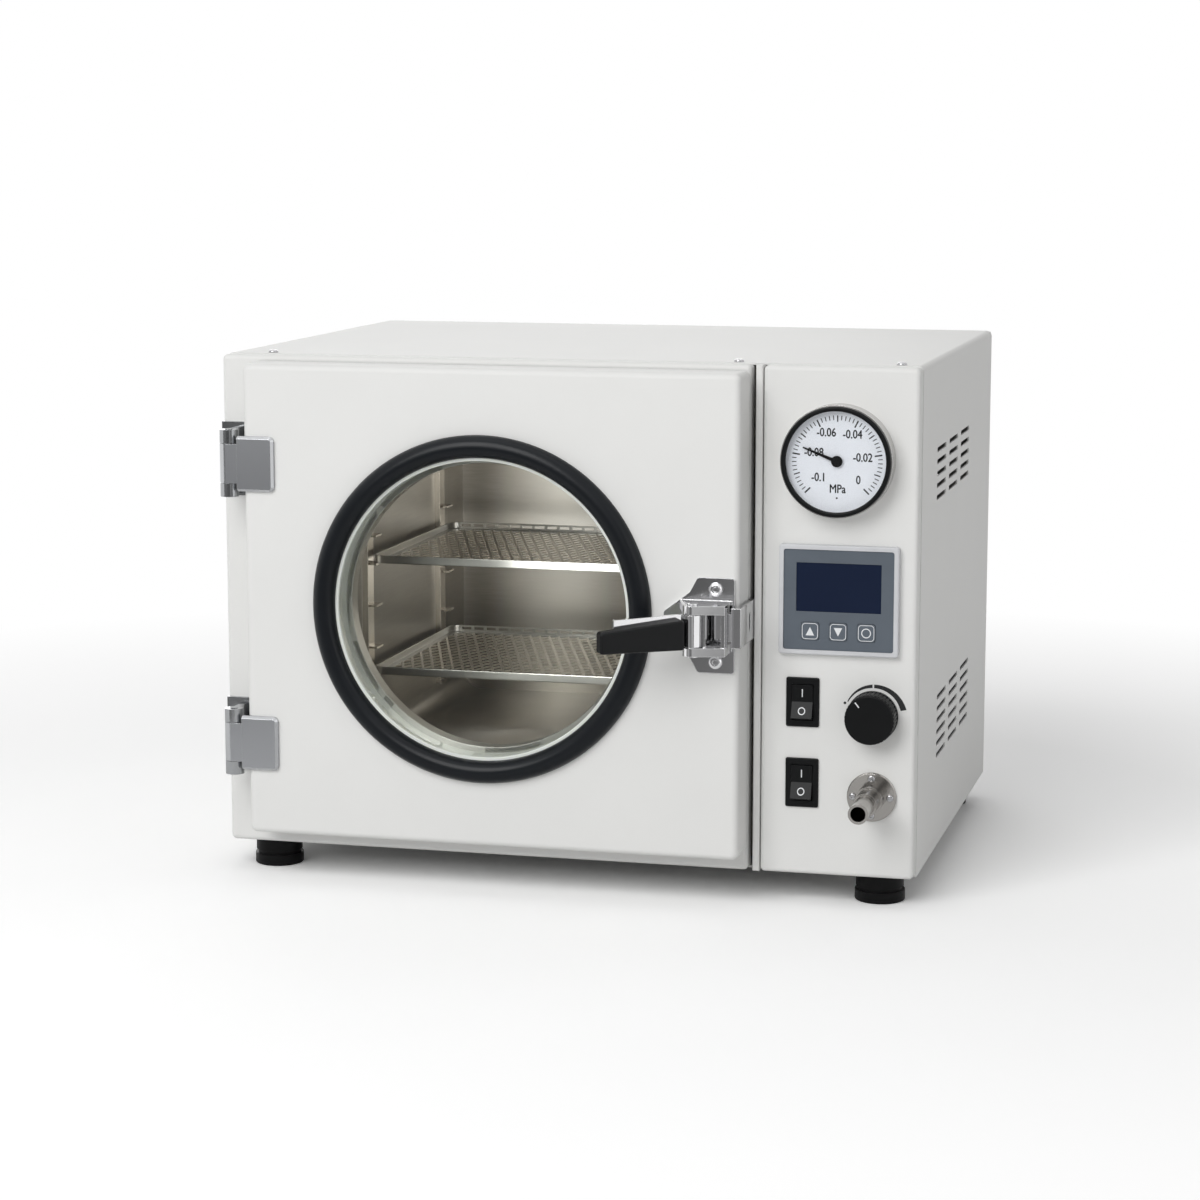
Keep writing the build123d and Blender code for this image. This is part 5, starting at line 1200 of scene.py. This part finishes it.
@dataclass
class Studio:
    """The camera, the pale floor, the soft lamps and the dark boards."""

    eye: Point3 = (0.64263, -2.53993, 0.62819)
    aim: Point3 = (0.031893, -0.159913, 0.241226)
    lens: float = 92.412
    floor_half: float = 9.0
    fade_start: float = 0.6  # metres from the middle to where the floor turns white
    fade_slope: float = 1.3
    floor_lift: float = 0.4  # how much brighter the camera sees the floor
    world_strength: float = 0.35

    def build(self) -> None:
        """Sets the stage."""
        self._camera()
        self._floor()
        self._world()
        self._lamp("key", (-0.9, -3.0, 2.2), 2.2, 71.0)
        self._lamp("fill", (2.6, -1.6, 1.1), 1.8, 4.0)
        self._lamp("sky", (0.0, 0.3, 2.9), 2.4, 9.5)
        self._lamp("rear", (-1.2, 3.0, 0.9), 2.0, 18.0)
        self._lamp("chamber_light", (0.0, -0.14, 0.25), 0.16, 0.4, (0.0, 0.2, 0.24))
        self._flag("dark_ahead", (0.10, -4.2, 0.75), (0.9, 1.5), 0.03)
        self._flag("dark_low", (-0.15, -0.85, 0.16), (1.3, 0.42), 0.12)
        self._flag("dark_left", (-1.3, -1.3, 0.55), (0.45, 1.5), 0.02)
        self._flag("dark_right", (1.25, -1.5, 0.6), (0.45, 1.5), 0.02)
        bpy.context.scene.view_settings.view_transform = "Standard"

    def _camera(self) -> None:
        """Makes the camera."""
        data = bpy.data.cameras.new("camera")
        data.lens = self.lens
        data.sensor_width = 36.0
        data.sensor_fit = "AUTO"
        data.clip_start = 0.05
        data.clip_end = 60.0
        bpy.context.scene.camera = aimed("camera", data, self.eye, self.aim)

    def _lamp(
        self,
        name: str,
        place: Point3,
        size: float,
        power: float,
        towards: Point3 = (0.0, 0.0, 0.2),
    ) -> None:
        """Makes one square lamp, with lengths in metres and its power in watts."""
        data = bpy.data.lights.new(name, "AREA")
        data.size = size
        data.energy = power
        lamp = aimed(name, data, place, towards)
        lamp.visible_camera = False

    def _flag(self, name: str, place: Point3, size: Point, tone: float) -> None:
        """Hangs a dark board of some width and height that shows only in reflections.

        The tone is the light of its darkest spots; the brightest have four times as much.
        """
        wide, tall = size[0] / 2, size[1] / 2
        ends = ((-wide, -tall), (wide, -tall), (wide, tall), (-wide, tall))
        board = sheet(name, [(x, 0, z) for x, z in ends])
        board.location = place
        board.rotation_euler = (0, 0, math.atan2(-place[0], place[1]) + math.pi)
        board.visible_camera = False
        board.visible_diffuse = False
        board.visible_transmission = False
        board.visible_shadow = False
        shade = Shade(bpy.data.materials.new(name))
        cloth = ((shade.noise(260.0, (1, 1, 0.3), detail=1.0) - 0.4) * 4.0).clipped()
        colour = shade.tinted(cloth, WHITE, tone, tone * 4)
        glow = shade.node("Emission", {}, {"Color": colour})
        board.data.materials.append(shade.finished(glow))

    def _floor(self) -> None:
        """Makes the pale floor, which keeps the shadow and fades to white."""
        half = self.floor_half
        ends = ((-half, -half), (half, -half), (half, half), (-half, half))
        floor = sheet("floor", [(x, y, 0) for x, y in ends])
        shade = Shade(bpy.data.materials.new("pale_floor"))
        path = shade.node("LightPath", out="Is Camera Ray")
        gloss = shade.node("LightPath", out="Is Glossy Ray")
        through = shade.node("LightPath", out="Is Transmission Ray")
        seen = (path + gloss + through).clipped()
        spot = shade.node("TexCoord", out="Object")
        settings = {"operation": "LENGTH"}
        away = shade.node("VectorMath", settings, {0: spot}, out="Value")
        white = ((away - self.fade_start) * self.fade_slope).clipped()
        colour = shade.tinted(shade.noise(300.0, detail=2.0), WHITE, 0.86, 0.88)
        plain = shade.node("BsdfDiffuse", {}, {"Color": colour})
        twice = shade.node("AddShader", {}, {0: plain, 1: plain})
        near = shade.node("MixShader", {}, {0: path * self.floor_lift, 1: plain, 2: twice})
        glow = shade.node("Emission", {}, {"Color": WHITE, "Strength": 1.0})
        mix = shade.node("MixShader", {}, {0: seen * white, 1: near, 2: glow})
        floor.data.materials.append(shade.finished(mix))

    def _world(self) -> None:
        """Makes the white surroundings that the camera, metal and glass see."""
        world = bpy.data.worlds.new("surroundings")
        bpy.context.scene.world = world
        shade = Shade(world)
        camera, glass, gloss = (
            shade.node("LightPath", out=f"Is {ray} Ray")
            for ray in ("Camera", "Transmission", "Glossy")
        )
        seen = shade.maths("MAXIMUM", shade.maths("MAXIMUM", camera, glass), gloss)
        dim, white = (
            shade.node("Background", {}, {"Color": WHITE, "Strength": strength})
            for strength in (self.world_strength, 1.0)
        )
        shade.finished(shade.node("MixShader", {}, {0: seen, 1: dim, 2: white}), "OutputWorld")


def main() -> None:
    """Builds the whole scene."""
    logging.basicConfig(level=logging.INFO, format="%(message)s")
    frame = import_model()
    nodes = frame["nodes"]
    Studio().build()
    for part in (Cabinet, Chamber, Door, Latch, Gauge, Controller, Switches, ValveControls):
        part(nodes).build()


if __name__ == "__main__":
    main()
